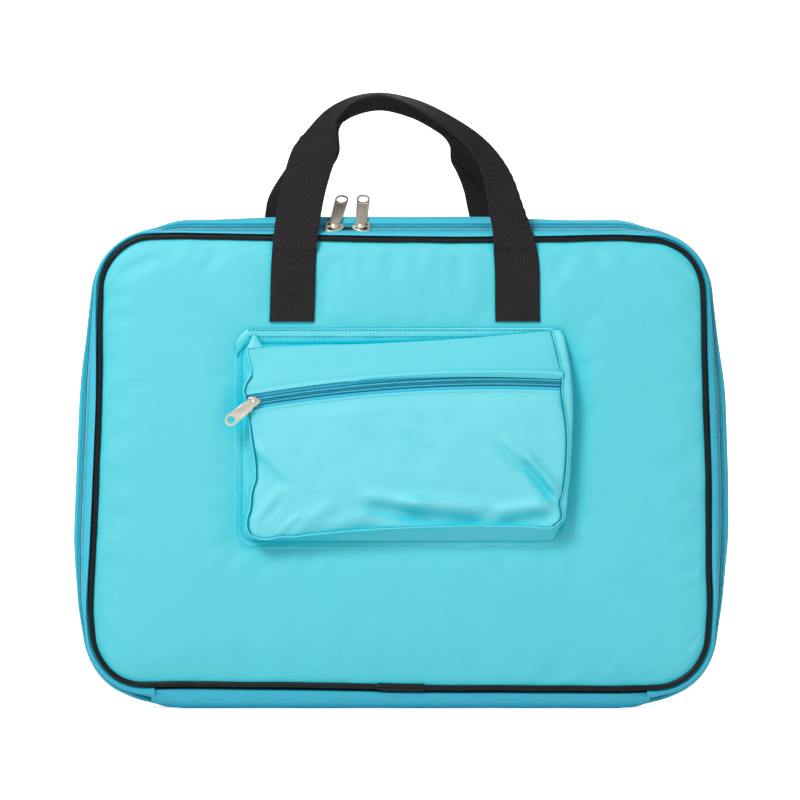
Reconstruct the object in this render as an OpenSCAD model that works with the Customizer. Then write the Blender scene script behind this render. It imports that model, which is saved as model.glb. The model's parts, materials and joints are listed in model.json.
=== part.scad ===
// Padded, zippered carrying case with two webbing handles and a bellows pocket.
// Millimetres. The case stands on its gusset: +Z up, the pocket side faces -Y, +X to the right.
// The origin lies in the middle of the flat underside.

/* [Case] */
// Width of the panels, over the piping
panel_w = 651; // [500:1:900]
// Height of the panels, over the piping
panel_h = 476; // [400:1:700]
// Radius of the panel corners
corner_r = 55; // [40:1:90]
// Depth over the two panel faces
depth = 60.4; // [54:0.2:110]
// How far the gusset bulges beyond the panels
bulge = 20; // [18:0.5:28]

/* [Layers] */
// Thickness of the outer cloth of a panel
skin_t = 1.5; // [1:0.1:3]
// Thickness of the padding of a panel
padding_t = 4; // [2:0.1:8]
// Thickness of the lining of a panel
lining_t = 1; // [0.5:0.1:2]
// Thickness of the gusset strips
strip_t = 1.8; // [1.2:0.1:3]
// Radius of the piping cord
piping_r = 2.8; // [2:0.1:4]

/* [Main zip] */
// Slope of the zip face, measured from straight out
zip_slope = 43; // [38:1:48]
// Width of the closed coil
coil_w = 9.8; // [7:0.1:12]
// Height of the coil above the tape
coil_h = 2.3; // [1.5:0.1:3]
// Distance from each end of the zip to where the corner starts, along the underside
zip_end_gap = 10.5; // [5:0.5:60]
// Home place of the left slider
left_home = -70; // [-110:1:-50]
// Home place of the right slider
right_home = -42; // [-46:1:0]
// Length of a slider
slider_l = 19; // [16:0.5:22]
// Length of a pull, from its pivot to its tip
pull_l = 44; // [28:1:50]
// Width of a pull
pull_w = 12; // [10:0.5:14]
// Radius of the hole at the end of a pull
pull_hole_r = 4.6; // [3:0.1:4.8]
// Lean of the left pull towards the middle
left_lean = 17; // [0:1:25]

/* [Handles] */
// Width of the webbing
webbing_w = 47; // [38:1:52]
// Thickness of the webbing
webbing_t = 2.4; // [1.8:0.1:3]
// Distance between the middles of a handle's legs
leg_spacing = 238; // [200:1:320]
// Height of a handle above the seam that it swings at
handle_h = 155; // [110:1:200]
// Width of the folded grip
grip_w = 23; // [20:1:28]
// Length of the webbing that is sewn to the panel
sewn_l = 90; // [60:1:110]
// Lean of a handle back over the case
handle_lean = 7; // [2:1:8]
// Sideways place of the front handle
front_handle_x = 4; // [-20:1:20]
// Sideways place of the back handle
back_handle_x = -12; // [-20:1:20]

/* [Pocket] */
// Width of the pocket over its hem
pocket_w = 355; // [300:1:420]
// Height of the pocket over its hem
pocket_h = 226; // [190:1:240]
// Sideways place of the pocket
pocket_x = 3; // [-20:1:20]
// Height of the pocket's lower edge above the panel's lower edge
pocket_z = 151; // [100:1:155]
// How far the pocket stands out from the panel
pocket_d = 23; // [18:0.5:40]
// Width of the hem
hem_w = 9; // [7:0.5:12]
// Radius of the pocket's lower corners
pocket_r = 20; // [14:1:30]
// Thickness of the pocket's cloth
pocket_t = 1.4; // [1:0.1:2]
// Tilt of the pocket's zip
pocket_zip_tilt = 3.6; // [0:0.1:5]
// Rise of the pocket's zip above a straight line between its ends
pocket_zip_rise = 9; // [6:0.5:16]
// Height of the middle of the pocket's zip above the pocket's lower edge
pocket_zip_z = 172; // [150:1:175]
// Width of the closed coil of the pocket's zip
pocket_coil_w = 6.4; // [5:0.1:7]

/* [Hidden] */
$fn = 48;

// Clearance between cloth that lies on cloth, between pieces that move apart, and the zips' open lines
lie = 0.2;
run_gap = 0.3;
half_gap = 0.65;
pocket_gap = 0.55;

cloth = [0.36, 0.84, 0.89];
zip_cloth = [0.16, 0.66, 0.76];
black = [0.13, 0.13, 0.13];
foam = [0.85, 0.85, 0.83];
metal = [0.75, 0.74, 0.72];

// Panels
face_y = depth / 2;
panel_z = bulge;
top_z = panel_z + panel_h;
stack_t = skin_t + padding_t + lining_t;
inner_y = face_y - stack_t;
web_t = 5;
web_in = 2 * piping_r - 0.2;
panel_inset = web_in + lie;
piping_y = face_y - piping_r;
flange_t = 1;
flange_in = 12;
sleeve_t = 0.8;

// Zip face: the middle of the zip is lu out from the panel's edge and ly from the middle of the depth
edge_s = coil_w / 2 + 1.7;
tape_s = edge_s + 2.9;
tape_t = 1;
tape_room = 0.25;
lu = bulge - strip_t - tape_s * cos(zip_slope) - tape_room;
ly = -(face_y - 12.7);
zip_end_x = panel_w / 2 - corner_r - zip_end_gap;

function on_zip(s, n) = [lu + s * cos(zip_slope) + n * sin(zip_slope), ly + s * sin(zip_slope) - n * cos(zip_slope)];
// Distance along the zip face at height n where it meets a plane that lies u out
function reach(u, n) = (u - lu - n * sin(zip_slope)) / cos(zip_slope);

// Slider, in the frame of its own zip: x along the chain, y across it, z out of the face
wing_t = 1.8;
post_r = 2.2;
cap_r = 3.5;
pull_t = 2;
pull_gap = 0.5;

// Handles
seam_z = top_z + 1;
strap_y = face_y + run_gap;
hinge_y = strap_y + webbing_t + run_gap;

// Pocket
hem_y = face_y + lie;
pocket_y = face_y + pocket_d;
pocket_low = panel_z + pocket_z;
body_w = pocket_w - 2 * hem_w;
body_h = pocket_h - 1.5 * hem_w;
body_low = pocket_low + hem_w;
body_top = body_low + body_h;
top_slope_h = 27;
pocket_zip_half = body_w / 2 - 4;
arc_r = (pow(pocket_zip_half, 2) + pow(pocket_zip_rise, 2)) / (2 * pocket_zip_rise);
arc_half = asin(pocket_zip_half / arc_r);
arc_z = pocket_low + pocket_zip_z;
pocket_edge_r = pocket_coil_w / 2 + 4.6;
pocket_tape_r = pocket_edge_r + 4;
pocket_slider_l = 13;
pocket_home = arc_half - (pocket_slider_l / 2 + 1.5) / arc_r * 180 / PI;
pocket_coil_h = 1.6;
pocket_tape_t = 0.8;
pocket_post_r = 1.6;
pocket_pull_l = 32;
pocket_pull_w = 10.5;
pocket_pull_lean = 218;

// A flat plate that stands upright, with its front face at y and t thick
module upright(y, t) {
    translate([0, y + t, 0])
        rotate([90, 0, 0])
            linear_extrude(t)
                children();
}

module rounded(w, h, r) {
    square([w - 2 * r, h], center = true);
    square([w, h - 2 * r], center = true);
    for (x = [-1, 1], y = [-1, 1])
        translate([x * (w / 2 - r), y * (h / 2 - r)])
            circle(r);
}

module panel_shape(inset) {
    translate([0, panel_z + panel_h / 2])
        rounded(panel_w - 2 * inset, panel_h - 2 * inset, corner_r - inset);
}

// Straight stretch of a section that points out along +X, turned by angle from there towards +Z
module straight_run(angle, out, from, length) {
    rotate([0, -angle, 0])
        translate([out, 0, from])
            linear_extrude(length)
                children();
}

// Quarter turn of a section that starts out along +X and turns towards +Z
module quarter_run() {
    rotate([-90, 0, 0])
        rotate_extrude(angle = -90)
            translate([corner_r, 0])
                children();
}

// Section (u outwards from the panel's edge, y through the depth) run round the case
module around() {
    centre_z = panel_z + panel_h / 2;
    half_w = panel_w / 2;
    half_h = panel_h / 2;
    side = panel_h - 2 * corner_r;
    across = panel_w - 2 * corner_r;
    translate([0, 0, centre_z]) {
        straight_run(0, half_w, -side / 2, side) children();
        straight_run(180, half_w, -side / 2, side) children();
        straight_run(90, half_h, -across / 2, across) children();
        for (k = [0:3])
            mirror([floor(k / 2), 0, 0])
                mirror([0, 0, k % 2])
                    translate([half_w - corner_r, 0, half_h - corner_r])
                        quarter_run() children();
    }
}

// The stretch of the underside between x1 and x2
module under(x1, x2) {
    mirror([0, 0, 1])
        translate([0, 0, -panel_z])
            straight_run(90, 0, -x2, x2 - x1)
                children();
}

module ring() {
    around() children();
    under(-(panel_w / 2 - corner_r), panel_w / 2 - corner_r) children();
}

module zip_run() {
    around() children();
    under(-(panel_w / 2 - corner_r), -zip_end_x) children();
    under(zip_end_x, panel_w / 2 - corner_r) children();
}

module mirrored_half() {
    mirror([0, 1, 0]) children();
}

// Panels, drawn at the back and mirrored for the front
module skin() {
    color(cloth) upright(face_y - skin_t, skin_t) panel_shape(panel_inset);
}

module padding() {
    color(foam) upright(face_y - skin_t - padding_t, padding_t) panel_shape(panel_inset + 0.8);
}

module lining() {
    color(black) upright(inner_y, lining_t) panel_shape(panel_inset);
}

module piping() {
    color(black) ring() {
        translate([-piping_r, piping_y]) circle(piping_r);
        translate([-web_in, piping_y - web_t]) square([web_in - 0.4, web_t]);
        translate([-flange_in, inner_y - flange_t - lie]) square([flange_in - 0.4, flange_t]);
    }
}

// Short tube of tape over the join of the piping, on the side that shows
module piping_sleeve() {
    sleeve_l = 50;
    show_y = piping_y + 1;
    color(black) under(-sleeve_l / 2, sleeve_l / 2) intersection() {
        difference() {
            translate([-piping_r, piping_y]) circle(piping_r + sleeve_t);
            translate([-piping_r, piping_y]) circle(piping_r + 0.05);
        }
        translate([-web_in, show_y]) square([web_in + 0.3, 2 * piping_r]);
    }
}

module back_panel() { skin(); }
module back_padding() { padding(); }
module back_lining() { lining(); }
module back_piping() { piping(); }
module back_piping_sleeve() { piping_sleeve(); }
module front_panel() { mirrored_half() skin(); }
module front_padding() { mirrored_half() padding(); }
module front_lining() { mirrored_half() lining(); }
module front_piping() { mirrored_half() piping(); }
module front_piping_sleeve() { mirrored_half() piping_sleeve(); }

// Gusset sections
bend_y = face_y - 12;
back_edge_y = piping_y + 0.8;

function outer_side() = [
    [bulge, on_zip(reach(bulge, strip_t), strip_t)[1]],
    [bulge, bend_y],
    [bulge * 0.72, face_y - 5.2],
    [0.6, back_edge_y]];
function inner_side() = [
    [0.3, back_edge_y - strip_t],
    [bulge * 0.72 - 1, face_y - 5.2 - strip_t],
    [bulge - strip_t, bend_y - 0.7],
    [bulge - strip_t, on_zip(reach(bulge - strip_t, 0), 0)[1]]];

module back_gusset() {
    color(cloth) zip_run()
        polygon(concat([on_zip(edge_s, 0), on_zip(edge_s, strip_t)], outer_side(), inner_side()));
}

module bottom_gusset() {
    front_s = reach(5, 0);
    color(cloth) under(-zip_end_x + run_gap, zip_end_x - run_gap)
        polygon(concat([on_zip(front_s, 0), on_zip(front_s, strip_t)], outer_side(), inner_side()));
}

module front_gusset() {
    front_s = reach(0.76, 0);
    color(cloth) zip_run()
        polygon([on_zip(front_s, 0), on_zip(front_s, strip_t), on_zip(-edge_s, strip_t), on_zip(-edge_s, 0)]);
}

// A rectangle on the zip face
module zip_bar(s1, s2, n1, n2) {
    polygon([on_zip(s1, n1), on_zip(s2, n1), on_zip(s2, n2), on_zip(s1, n2)]);
}

module back_zip_tape() {
    color(zip_cloth) zip_run() zip_bar(half_gap, tape_s, -lie - tape_t, -lie);
}

module back_zip_coil() {
    color(zip_cloth) zip_run() zip_bar(half_gap, coil_w / 2, 0, coil_h);
}

module front_zip_tape() {
    color(zip_cloth) zip_run() zip_bar(-tape_s, -half_gap, -lie - tape_t, -lie);
}

module front_zip_coil() {
    color(zip_cloth) zip_run() zip_bar(-coil_w / 2, -half_gap, 0, coil_h);
}

// Cloth tab that covers an end of the zip
module zip_end(side) {
    tab_l = 16;
    low = zip_end_x - tab_l + 4;
    color(cloth) mirror([(1 - side) / 2, 0, 0])
        under(low, low + tab_l)
            zip_bar(-coil_w / 2 - 1, coil_w / 2 + 1, coil_h + run_gap, coil_h + run_gap + 1.2);
}
module left_zip_end() { zip_end(-1); }
module right_zip_end() { zip_end(1); }

// Handles. A handle is drawn in the plane of its hinge line and leans back over the case
arch_w = leg_spacing / 2;
arch_h = handle_h - grip_w / 2;
function arch_point(t) = [-arch_w * sign(cos(t)) * pow(abs(cos(t)), 0.9), arch_h * pow(abs(sin(t)), 0.9)];
function arch_normal(t) = let (d = arch_point(min(t + 0.5, 179.9)) - arch_point(max(t - 0.5, 0.1)))
    [-d[1], d[0]] / norm(d);
// Half width of the webbing: full on the legs, folded at the grip
function half_width(t) = let (k = min(1, max(0, (sin(t) - 0.4) / 0.5)))
    (webbing_w * (1 - k) + grip_w * k) / 2;
steps = 28;
function edge(side) = [for (i = [0:steps]) let (t = 2 + 176 * i / steps)
    arch_point(t) + side * half_width(t) * arch_normal(t)];

module handle_shape() {
    outer = edge(1);
    inner = edge(-1);
    foot = 0.5;
    intersection() {
        polygon(concat(
            [[-arch_w - webbing_w / 2, -1]], outer, [[arch_w + webbing_w / 2, -1]],
            [[arch_w - webbing_w / 2, -1]], [for (i = [0:steps]) inner[steps - i]],
            [[-arch_w + webbing_w / 2, -1]]));
        translate([-300, foot]) square([600, 400]);
    }
}

// Webbing loop at the back, swinging at the seam
module handle(place) {
    color(black) translate([place, hinge_y, seam_z])
        rotate([handle_lean, 0, 0])
            translate([0, -run_gap, 0])
                rotate([90, 0, 0])
                    linear_extrude(webbing_t)
                        handle_shape();
}

module handle_ends(place) {
    color(black) for (side = [-1, 1])
        translate([place + side * leg_spacing / 2 - webbing_w / 2, strap_y, seam_z - 0.5 - sewn_l])
            cube([webbing_w, webbing_t, sewn_l]);
}

module back_handle() { handle(back_handle_x); }
module back_handle_ends() { handle_ends(back_handle_x); }
module front_handle() { mirrored_half() handle(front_handle_x); }
module front_handle_ends() { mirrored_half() handle_ends(front_handle_x); }

// Pocket, drawn with its front towards -Y
module pocket_outline(inset, top) {
    w = pocket_w - 2 * inset;
    low = pocket_low + inset;
    r = pocket_r - min(inset, 8);
    translate([pocket_x, 0]) {
        translate([-w / 2, low + r]) square([w, top - low - r]);
        translate([-w / 2 + r, low]) square([w - 2 * r, r + 1]);
        for (x = [-1, 1])
            translate([x * (w / 2 - r), low + r]) circle(r);
    }
}

module pocket_hem() {
    hem_t = 1.4;
    hem_top = pocket_low + pocket_h;
    color(cloth) upright(-hem_y - hem_t, hem_t) difference() {
        pocket_outline(0, hem_top);
        pocket_outline(hem_w + pocket_t + 1, hem_top - 1.5 * hem_w);
    }
}

hem_front = hem_y + 1.4 + lie;

module pocket_sides() {
    color(cloth) intersection() {
        upright(-pocket_y + pocket_t + lie, pocket_y - pocket_t - lie - hem_front) difference() {
            pocket_outline(hem_w, body_top);
            pocket_outline(hem_w + pocket_t, body_top + 1);
        }
        translate([pocket_x - pocket_w, 0, 0]) rotate([90, 0, 90])
            linear_extrude(2 * pocket_w)
                polygon([[-hem_front, 0], [-pocket_y, 0], [-pocket_y, body_top - top_slope_h - 3],
                         [-hem_front, body_top - 3]]);
    }
}

// The disc under the curve of the pocket's zip, out to dr from the middle of the zip
module under_zip(dr) {
    translate([pocket_x, arc_z])
        rotate(pocket_zip_tilt)
            translate([0, -arc_r])
                circle(arc_r + dr, $fn = 720);
}

module pocket_front() {
    color(cloth) upright(-pocket_y, pocket_t) intersection() {
        pocket_outline(hem_w, body_top);
        under_zip(-pocket_edge_r);
    }
}

module pocket_top() {
    fold_z = body_top - top_slope_h;
    color(cloth) {
        upright(-pocket_y, pocket_t) difference() {
            translate([pocket_x - body_w / 2, arc_z - 40]) square([body_w, fold_z - arc_z + 40]);
            under_zip(pocket_edge_r);
        }
        translate([pocket_x - body_w / 2, 0, 0]) rotate([90, 0, 90])
            linear_extrude(body_w)
                polygon([[-pocket_y, fold_z], [-pocket_y + pocket_t, fold_z - 0.5],
                         [-hem_front, body_top - 2], [-hem_front, body_top]]);
    }
}

// A band along the curve of the pocket's zip
module zip_band(r1, r2, y, t) {
    translate([pocket_x, y, arc_z])
        rotate([0, -pocket_zip_tilt, 0])
            translate([0, 0, -arc_r])
                rotate([-90, 0, 0])
                    rotate([0, 0, -90 - arc_half])
                        rotate_extrude(angle = 2 * arc_half, $fn = 720)
                            translate([arc_r + r1, 0])
                                square([r2 - r1, t]);
}

tape_y = -pocket_y + pocket_t + lie;

module pocket_zip_tape() {
    color(zip_cloth) {
        zip_band(pocket_gap, pocket_tape_r, tape_y, pocket_tape_t);
        zip_band(-pocket_tape_r, -pocket_gap, tape_y, pocket_tape_t);
    }
}

module pocket_zip_coil() {
    color(zip_cloth) {
        zip_band(pocket_gap, pocket_coil_w / 2, tape_y - pocket_coil_h, pocket_coil_h);
        zip_band(-pocket_coil_w / 2, -pocket_gap, tape_y - pocket_coil_h, pocket_coil_h);
    }
}

// Slider on a zip: length along the chain, w across, coil and tape heights of its zip
module slider(length, w, coil, tape, gap, post, cap) {
    top = coil + run_gap;
    low = -lie - tape - run_gap;
    lip = 0.9;
    blade = gap - run_gap;
    color(metal) {
        // wings and lips
        for (part = [[top, wing_t], [low - 1.4, 1.4]])
            translate([0, 0, part[0]]) linear_extrude(part[1]) rounded(length, w + 2 * (lip + run_gap), 3);
        for (side = [-1, 1])
            translate([-length / 2 + 3, side * (w / 2 + run_gap + lip / 2) - lip / 2, run_gap])
                cube([length - 6, lip, top + 0.5 - run_gap]);
        // divider between the two coils
        translate([-length / 4, -blade, low - 1]) cube([length / 2, 2 * blade, top - low + 2]);
        // post and cap that hold the pull
        translate([0, 0, top]) cylinder(r = post, h = wing_t + pull_t + 2 * pull_gap + 0.2);
        translate([0, 0, top + wing_t + pull_t + 2 * pull_gap]) cylinder(r = cap, h = 1.4);
    }
}

// Pull on the post: an eye, a shank and a wide end with a finger hole
module pull(length, w, hole, post) {
    eye = post + 0.4;
    color(metal) linear_extrude(pull_t) difference() {
        union() {
            circle(eye + 2.2);
            translate([-w * 0.36, 0]) square([w * 0.72, length - w / 2]);
            translate([0, length - w / 2]) circle(w / 2);
            translate([-w / 2, length - w * 1.35]) square([w, w * 0.85]);
        }
        circle(eye);
        translate([0, length - w / 2]) circle(hole);
    }
}

// Puts a slider or pull on the main zip at x: its y runs up the zip face and its z out of it
module at_main_zip(x) {
    centre = on_zip(0, 0);
    translate([x, centre[1], top_z + centre[0]])
        rotate([90 - zip_slope, 0, 0])
            children();
}

pull_n = coil_h + run_gap + wing_t + pull_gap;

module main_slider(x) {
    at_main_zip(x) slider(slider_l, coil_w, coil_h, tape_t, half_gap, post_r, cap_r);
}
module main_pull(x, lean) {
    at_main_zip(x) translate([0, 0, pull_n]) rotate(-lean) pull(pull_l, pull_w, pull_hole_r, post_r);
}
module left_slider() { main_slider(left_home); }
module left_pull() { main_pull(left_home, left_lean); }
module right_slider() { main_slider(right_home); }
module right_pull() { main_pull(right_home, 0); }

// Puts a slider or pull on the pocket's zip at its home, with its z out of the pocket
module at_pocket_zip() {
    translate([pocket_x, tape_y, arc_z])
        rotate([0, -pocket_zip_tilt, 0])
            translate([0, 0, -arc_r])
                rotate([0, -pocket_home, 0])
                    translate([0, 0, arc_r])
                        rotate([90, 0, 0])
                            children();
}

module pocket_slider() {
    at_pocket_zip()
        slider(pocket_slider_l, pocket_coil_w, pocket_coil_h, pocket_tape_t, pocket_gap, pocket_post_r, 2.6);
}

module pocket_pull() {
    at_pocket_zip() translate([0, 0, pocket_coil_h + run_gap + wing_t + pull_gap])
        rotate(pocket_pull_lean - 90)
            pull(pocket_pull_l, pocket_pull_w, 3.4, pocket_post_r);
}

back_panel();
back_padding();
back_lining();
back_piping();
back_piping_sleeve();
back_gusset();
back_zip_tape();
back_zip_coil();
bottom_gusset();
left_zip_end();
right_zip_end();
back_handle_ends();
front_panel();
front_padding();
front_lining();
front_piping();
front_piping_sleeve();
front_gusset();
front_zip_tape();
front_zip_coil();
front_handle_ends();
pocket_hem();
pocket_sides();
pocket_front();
pocket_top();
pocket_zip_tape();
pocket_zip_coil();
front_handle();
back_handle();
left_slider();
left_pull();
right_slider();
right_pull();
pocket_slider();
pocket_pull();
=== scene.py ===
"""Zippered carrying case: its cloth, piping, zips, webbing, pocket and metal, made round the fixed frame."""

import json
import math

import bmesh
import bpy
import numpy as np
from mathutils import Matrix, Vector, noise


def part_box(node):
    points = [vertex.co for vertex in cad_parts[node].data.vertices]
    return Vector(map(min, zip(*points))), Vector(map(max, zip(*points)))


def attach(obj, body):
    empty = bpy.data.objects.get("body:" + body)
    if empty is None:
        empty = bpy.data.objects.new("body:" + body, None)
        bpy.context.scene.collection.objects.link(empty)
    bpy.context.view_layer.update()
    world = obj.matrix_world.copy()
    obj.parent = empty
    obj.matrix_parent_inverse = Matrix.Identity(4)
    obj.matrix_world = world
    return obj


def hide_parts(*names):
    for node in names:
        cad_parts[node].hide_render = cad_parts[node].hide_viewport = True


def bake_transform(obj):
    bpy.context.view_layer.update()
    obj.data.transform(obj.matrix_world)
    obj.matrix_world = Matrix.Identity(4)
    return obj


bl_info = {
    "name": "Zippered Carrying Case",
    "version": (1, 0, 0),
    "blender": (4, 5, 0),
    "location": "View3D > Sidebar > Carrying Case",
    "description": "Models the cloth, piping, zips, webbing and metal of a padded carrying case",
    "category": "Add Mesh",
}

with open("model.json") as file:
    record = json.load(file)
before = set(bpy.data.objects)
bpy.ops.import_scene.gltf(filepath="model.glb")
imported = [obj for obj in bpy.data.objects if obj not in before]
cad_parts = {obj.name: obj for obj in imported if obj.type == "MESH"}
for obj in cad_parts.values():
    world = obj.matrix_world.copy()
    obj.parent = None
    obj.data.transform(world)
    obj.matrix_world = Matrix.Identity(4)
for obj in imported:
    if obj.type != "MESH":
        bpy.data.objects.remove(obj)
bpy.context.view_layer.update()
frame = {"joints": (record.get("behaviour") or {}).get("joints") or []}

# Places that the frame gives, in metres
PANEL_LOW, PANEL_HIGH = (Vector(corner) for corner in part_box("front_piping"))
GUSSET_LOW, GUSSET_HIGH = (Vector(corner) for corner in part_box("back_gusset"))
HALF_W = PANEL_HIGH.x
HALF_H = (PANEL_HIGH.z - PANEL_LOW.z) / 2
MIDDLE_Z = (PANEL_HIGH.z + PANEL_LOW.z) / 2
BULGE = GUSSET_HIGH.x - PANEL_HIGH.x
FACE_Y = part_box("back_panel")[1][1]
LINING_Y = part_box("back_lining")[0][1]
BACK_EDGE_Y = GUSSET_HIGH.y
ZIP_END_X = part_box("bottom_gusset")[1][0]
HEM_LOW, HEM_HIGH = (Vector(corner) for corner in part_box("pocket_hem"))
POCKET_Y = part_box("pocket_front")[0][1]
JOINTS = {joint["name"]: joint for joint in frame["joints"]}


def srgb(red, green, blue):
    """Linear colour from the 0 to 255 numbers of a colour picker."""
    def linear(value):
        value /= 255
        return value / 12.92 if value <= 0.04045 else ((value + 0.055) / 1.055) ** 2.4
    return (linear(red), linear(green), linear(blue))


class CaseSizes(bpy.types.PropertyGroup):
    """Sizes of the case that the frame doesn't give."""

    corner_radius: bpy.props.FloatProperty(
        name="Corner radius", description="Radius of the panels' corners", default=0.055, unit="LENGTH")
    crown: bpy.props.FloatProperty(
        name="Crown", description="How far the padding lifts the middle of a panel", default=0.0035,
        unit="LENGTH")
    corner_bulge: bpy.props.FloatProperty(
        name="Corner bulge", description="Share of the gusset's bulge that is left at a corner", default=0.32)
    piping_radius: bpy.props.FloatProperty(
        name="Piping radius", description="Radius of the piping cord", default=0.0028, unit="LENGTH")
    strip_thickness: bpy.props.FloatProperty(
        name="Strip thickness", description="Thickness of the gusset's cloth", default=0.0018, unit="LENGTH")
    weave_pitch: bpy.props.FloatProperty(
        name="Weave pitch", description="Distance between two yarns of the cloth", default=0.0008,
        unit="LENGTH")


class ZipSizes(bpy.types.PropertyGroup):
    """Sizes of the zips."""

    coil_width: bpy.props.FloatProperty(
        name="Coil width", description="Width of the closed main coil", default=0.0098, unit="LENGTH")
    coil_height: bpy.props.FloatProperty(
        name="Coil height", description="Height of the main coil above its tape", default=0.0023,
        unit="LENGTH")
    tooth_pitch: bpy.props.FloatProperty(
        name="Tooth pitch", description="Distance between two teeth of one half", default=0.0021,
        unit="LENGTH")
    pocket_coil_width: bpy.props.FloatProperty(
        name="Pocket coil width", description="Width of the closed pocket coil", default=0.0064,
        unit="LENGTH")
    pocket_tooth_pitch: bpy.props.FloatProperty(
        name="Pocket tooth pitch", description="Distance between two teeth of one half", default=0.0015,
        unit="LENGTH")


class HandleSizes(bpy.types.PropertyGroup):
    """Sizes of the webbing handles."""

    width: bpy.props.FloatProperty(
        name="Webbing width", description="Width of the webbing laid flat", default=0.047, unit="LENGTH")
    thickness: bpy.props.FloatProperty(
        name="Webbing thickness", description="Thickness of the webbing", default=0.0022, unit="LENGTH")


class CaseColours(bpy.types.PropertyGroup):
    """Colours of the case."""

    cloth: bpy.props.FloatVectorProperty(
        name="Cloth", description="Colour of the panels", default=srgb(52, 192, 205), subtype="COLOR")
    gusset: bpy.props.FloatVectorProperty(
        name="Gusset", description="Colour of the gusset's cloth", default=srgb(26, 176, 202),
        subtype="COLOR")
    # painted light: the pocket's cloth is the panels' cloth, made brighter where the pocket is lit more
    pocket: bpy.props.FloatVectorProperty(
        name="Pocket", description="Colour of the pocket's cloth", default=srgb(72, 200, 212),
        subtype="COLOR")
    tape: bpy.props.FloatVectorProperty(
        name="Zip tape", description="Colour of the zips' tape", default=srgb(22, 188, 220), subtype="COLOR")
    coil: bpy.props.FloatVectorProperty(
        name="Zip coil", description="Colour of the zips' coils", default=srgb(112, 216, 236),
        subtype="COLOR")
    piping: bpy.props.FloatVectorProperty(
        name="Piping", description="Colour of the piping", default=srgb(20, 17, 17), subtype="COLOR")
    webbing: bpy.props.FloatVectorProperty(
        name="Webbing", description="Colour of the handles", default=srgb(31, 28, 29), subtype="COLOR")
    lining: bpy.props.FloatVectorProperty(
        name="Lining", description="Colour of the lining", default=srgb(34, 35, 37), subtype="COLOR")
    metal: bpy.props.FloatVectorProperty(
        name="Metal", description="Colour of the sliders", default=srgb(238, 228, 212), subtype="COLOR")


# ---------------------------------------------------------------------------
# Nodes and materials


def shader_tree(name):
    """A new material with its node tree and its Principled shader."""
    material = bpy.data.materials.new(name)
    material.use_nodes = True
    tree = material.node_tree
    return material, tree, tree.nodes["Principled BSDF"]


def add(tree, kind, **settings):
    """A node with its settings; a setting that names an input sets that input's value."""
    node = tree.nodes.new(kind)
    for key, value in settings.items():
        if hasattr(node, key):
            setattr(node, key, value)
        else:
            node.inputs[key.replace("_", " ")].default_value = value
    return node


def texture(tree, kind, **settings):
    """A texture over the object's own coordinates."""
    coords = add(tree, "ShaderNodeTexCoord")
    node = add(tree, kind, **settings)
    tree.links.new(coords.outputs["Object"], node.inputs["Vector"])
    return node


def maths(tree, operation, first, second):
    """A Math node between two sockets or numbers, as its output."""
    node = tree.nodes.new("ShaderNodeMath")
    node.operation = operation
    for socket, value in zip(node.inputs, (first, second)):
        if isinstance(value, (int, float)):
            socket.default_value = value
        else:
            tree.links.new(value, socket)
    return node.outputs[0]


def yarns(tree, vector, pitch_x, pitch_y, turn=0.0):
    """Height of a plain weave over the vector: warp over weft and weft over warp by turns."""
    turned = add(tree, "ShaderNodeMapping")
    turned.inputs["Rotation"].default_value = (0, 0, turn)
    tree.links.new(vector, turned.inputs["Vector"])
    split = add(tree, "ShaderNodeSeparateXYZ")
    tree.links.new(turned.outputs[0], split.inputs[0])
    across = maths(tree, "SINE", maths(tree, "MULTIPLY", split.outputs[0], math.pi / pitch_x), 0.0)
    along = maths(tree, "SINE", maths(tree, "MULTIPLY", split.outputs[1], math.pi / pitch_y), 0.0)
    return maths(tree, "MULTIPLY", across, along)


def tinted(tree, colour, factor, dark, light):
    """The colour times a grey that runs from dark to light with the factor, as an output."""
    grey = add(tree, "ShaderNodeMapRange", To_Min=dark, To_Max=light)
    tree.links.new(factor, grey.inputs["Value"])
    mix = tree.nodes.new("ShaderNodeMix")
    mix.data_type = "RGBA"
    mix.blend_type = "MULTIPLY"
    mix.inputs["Factor"].default_value = 1.0
    mix.inputs["A"].default_value = (*colour, 1)
    tree.links.new(grey.outputs[0], mix.inputs["B"])
    return mix.outputs["Result"]


# painted shade: a cloth with a higher index gets a deeper, purer colour and less reflection where it is
# closed in
SHADED_IOR = 1.45  # a cloth with a higher index also turns deeper and duller where it is closed in


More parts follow.
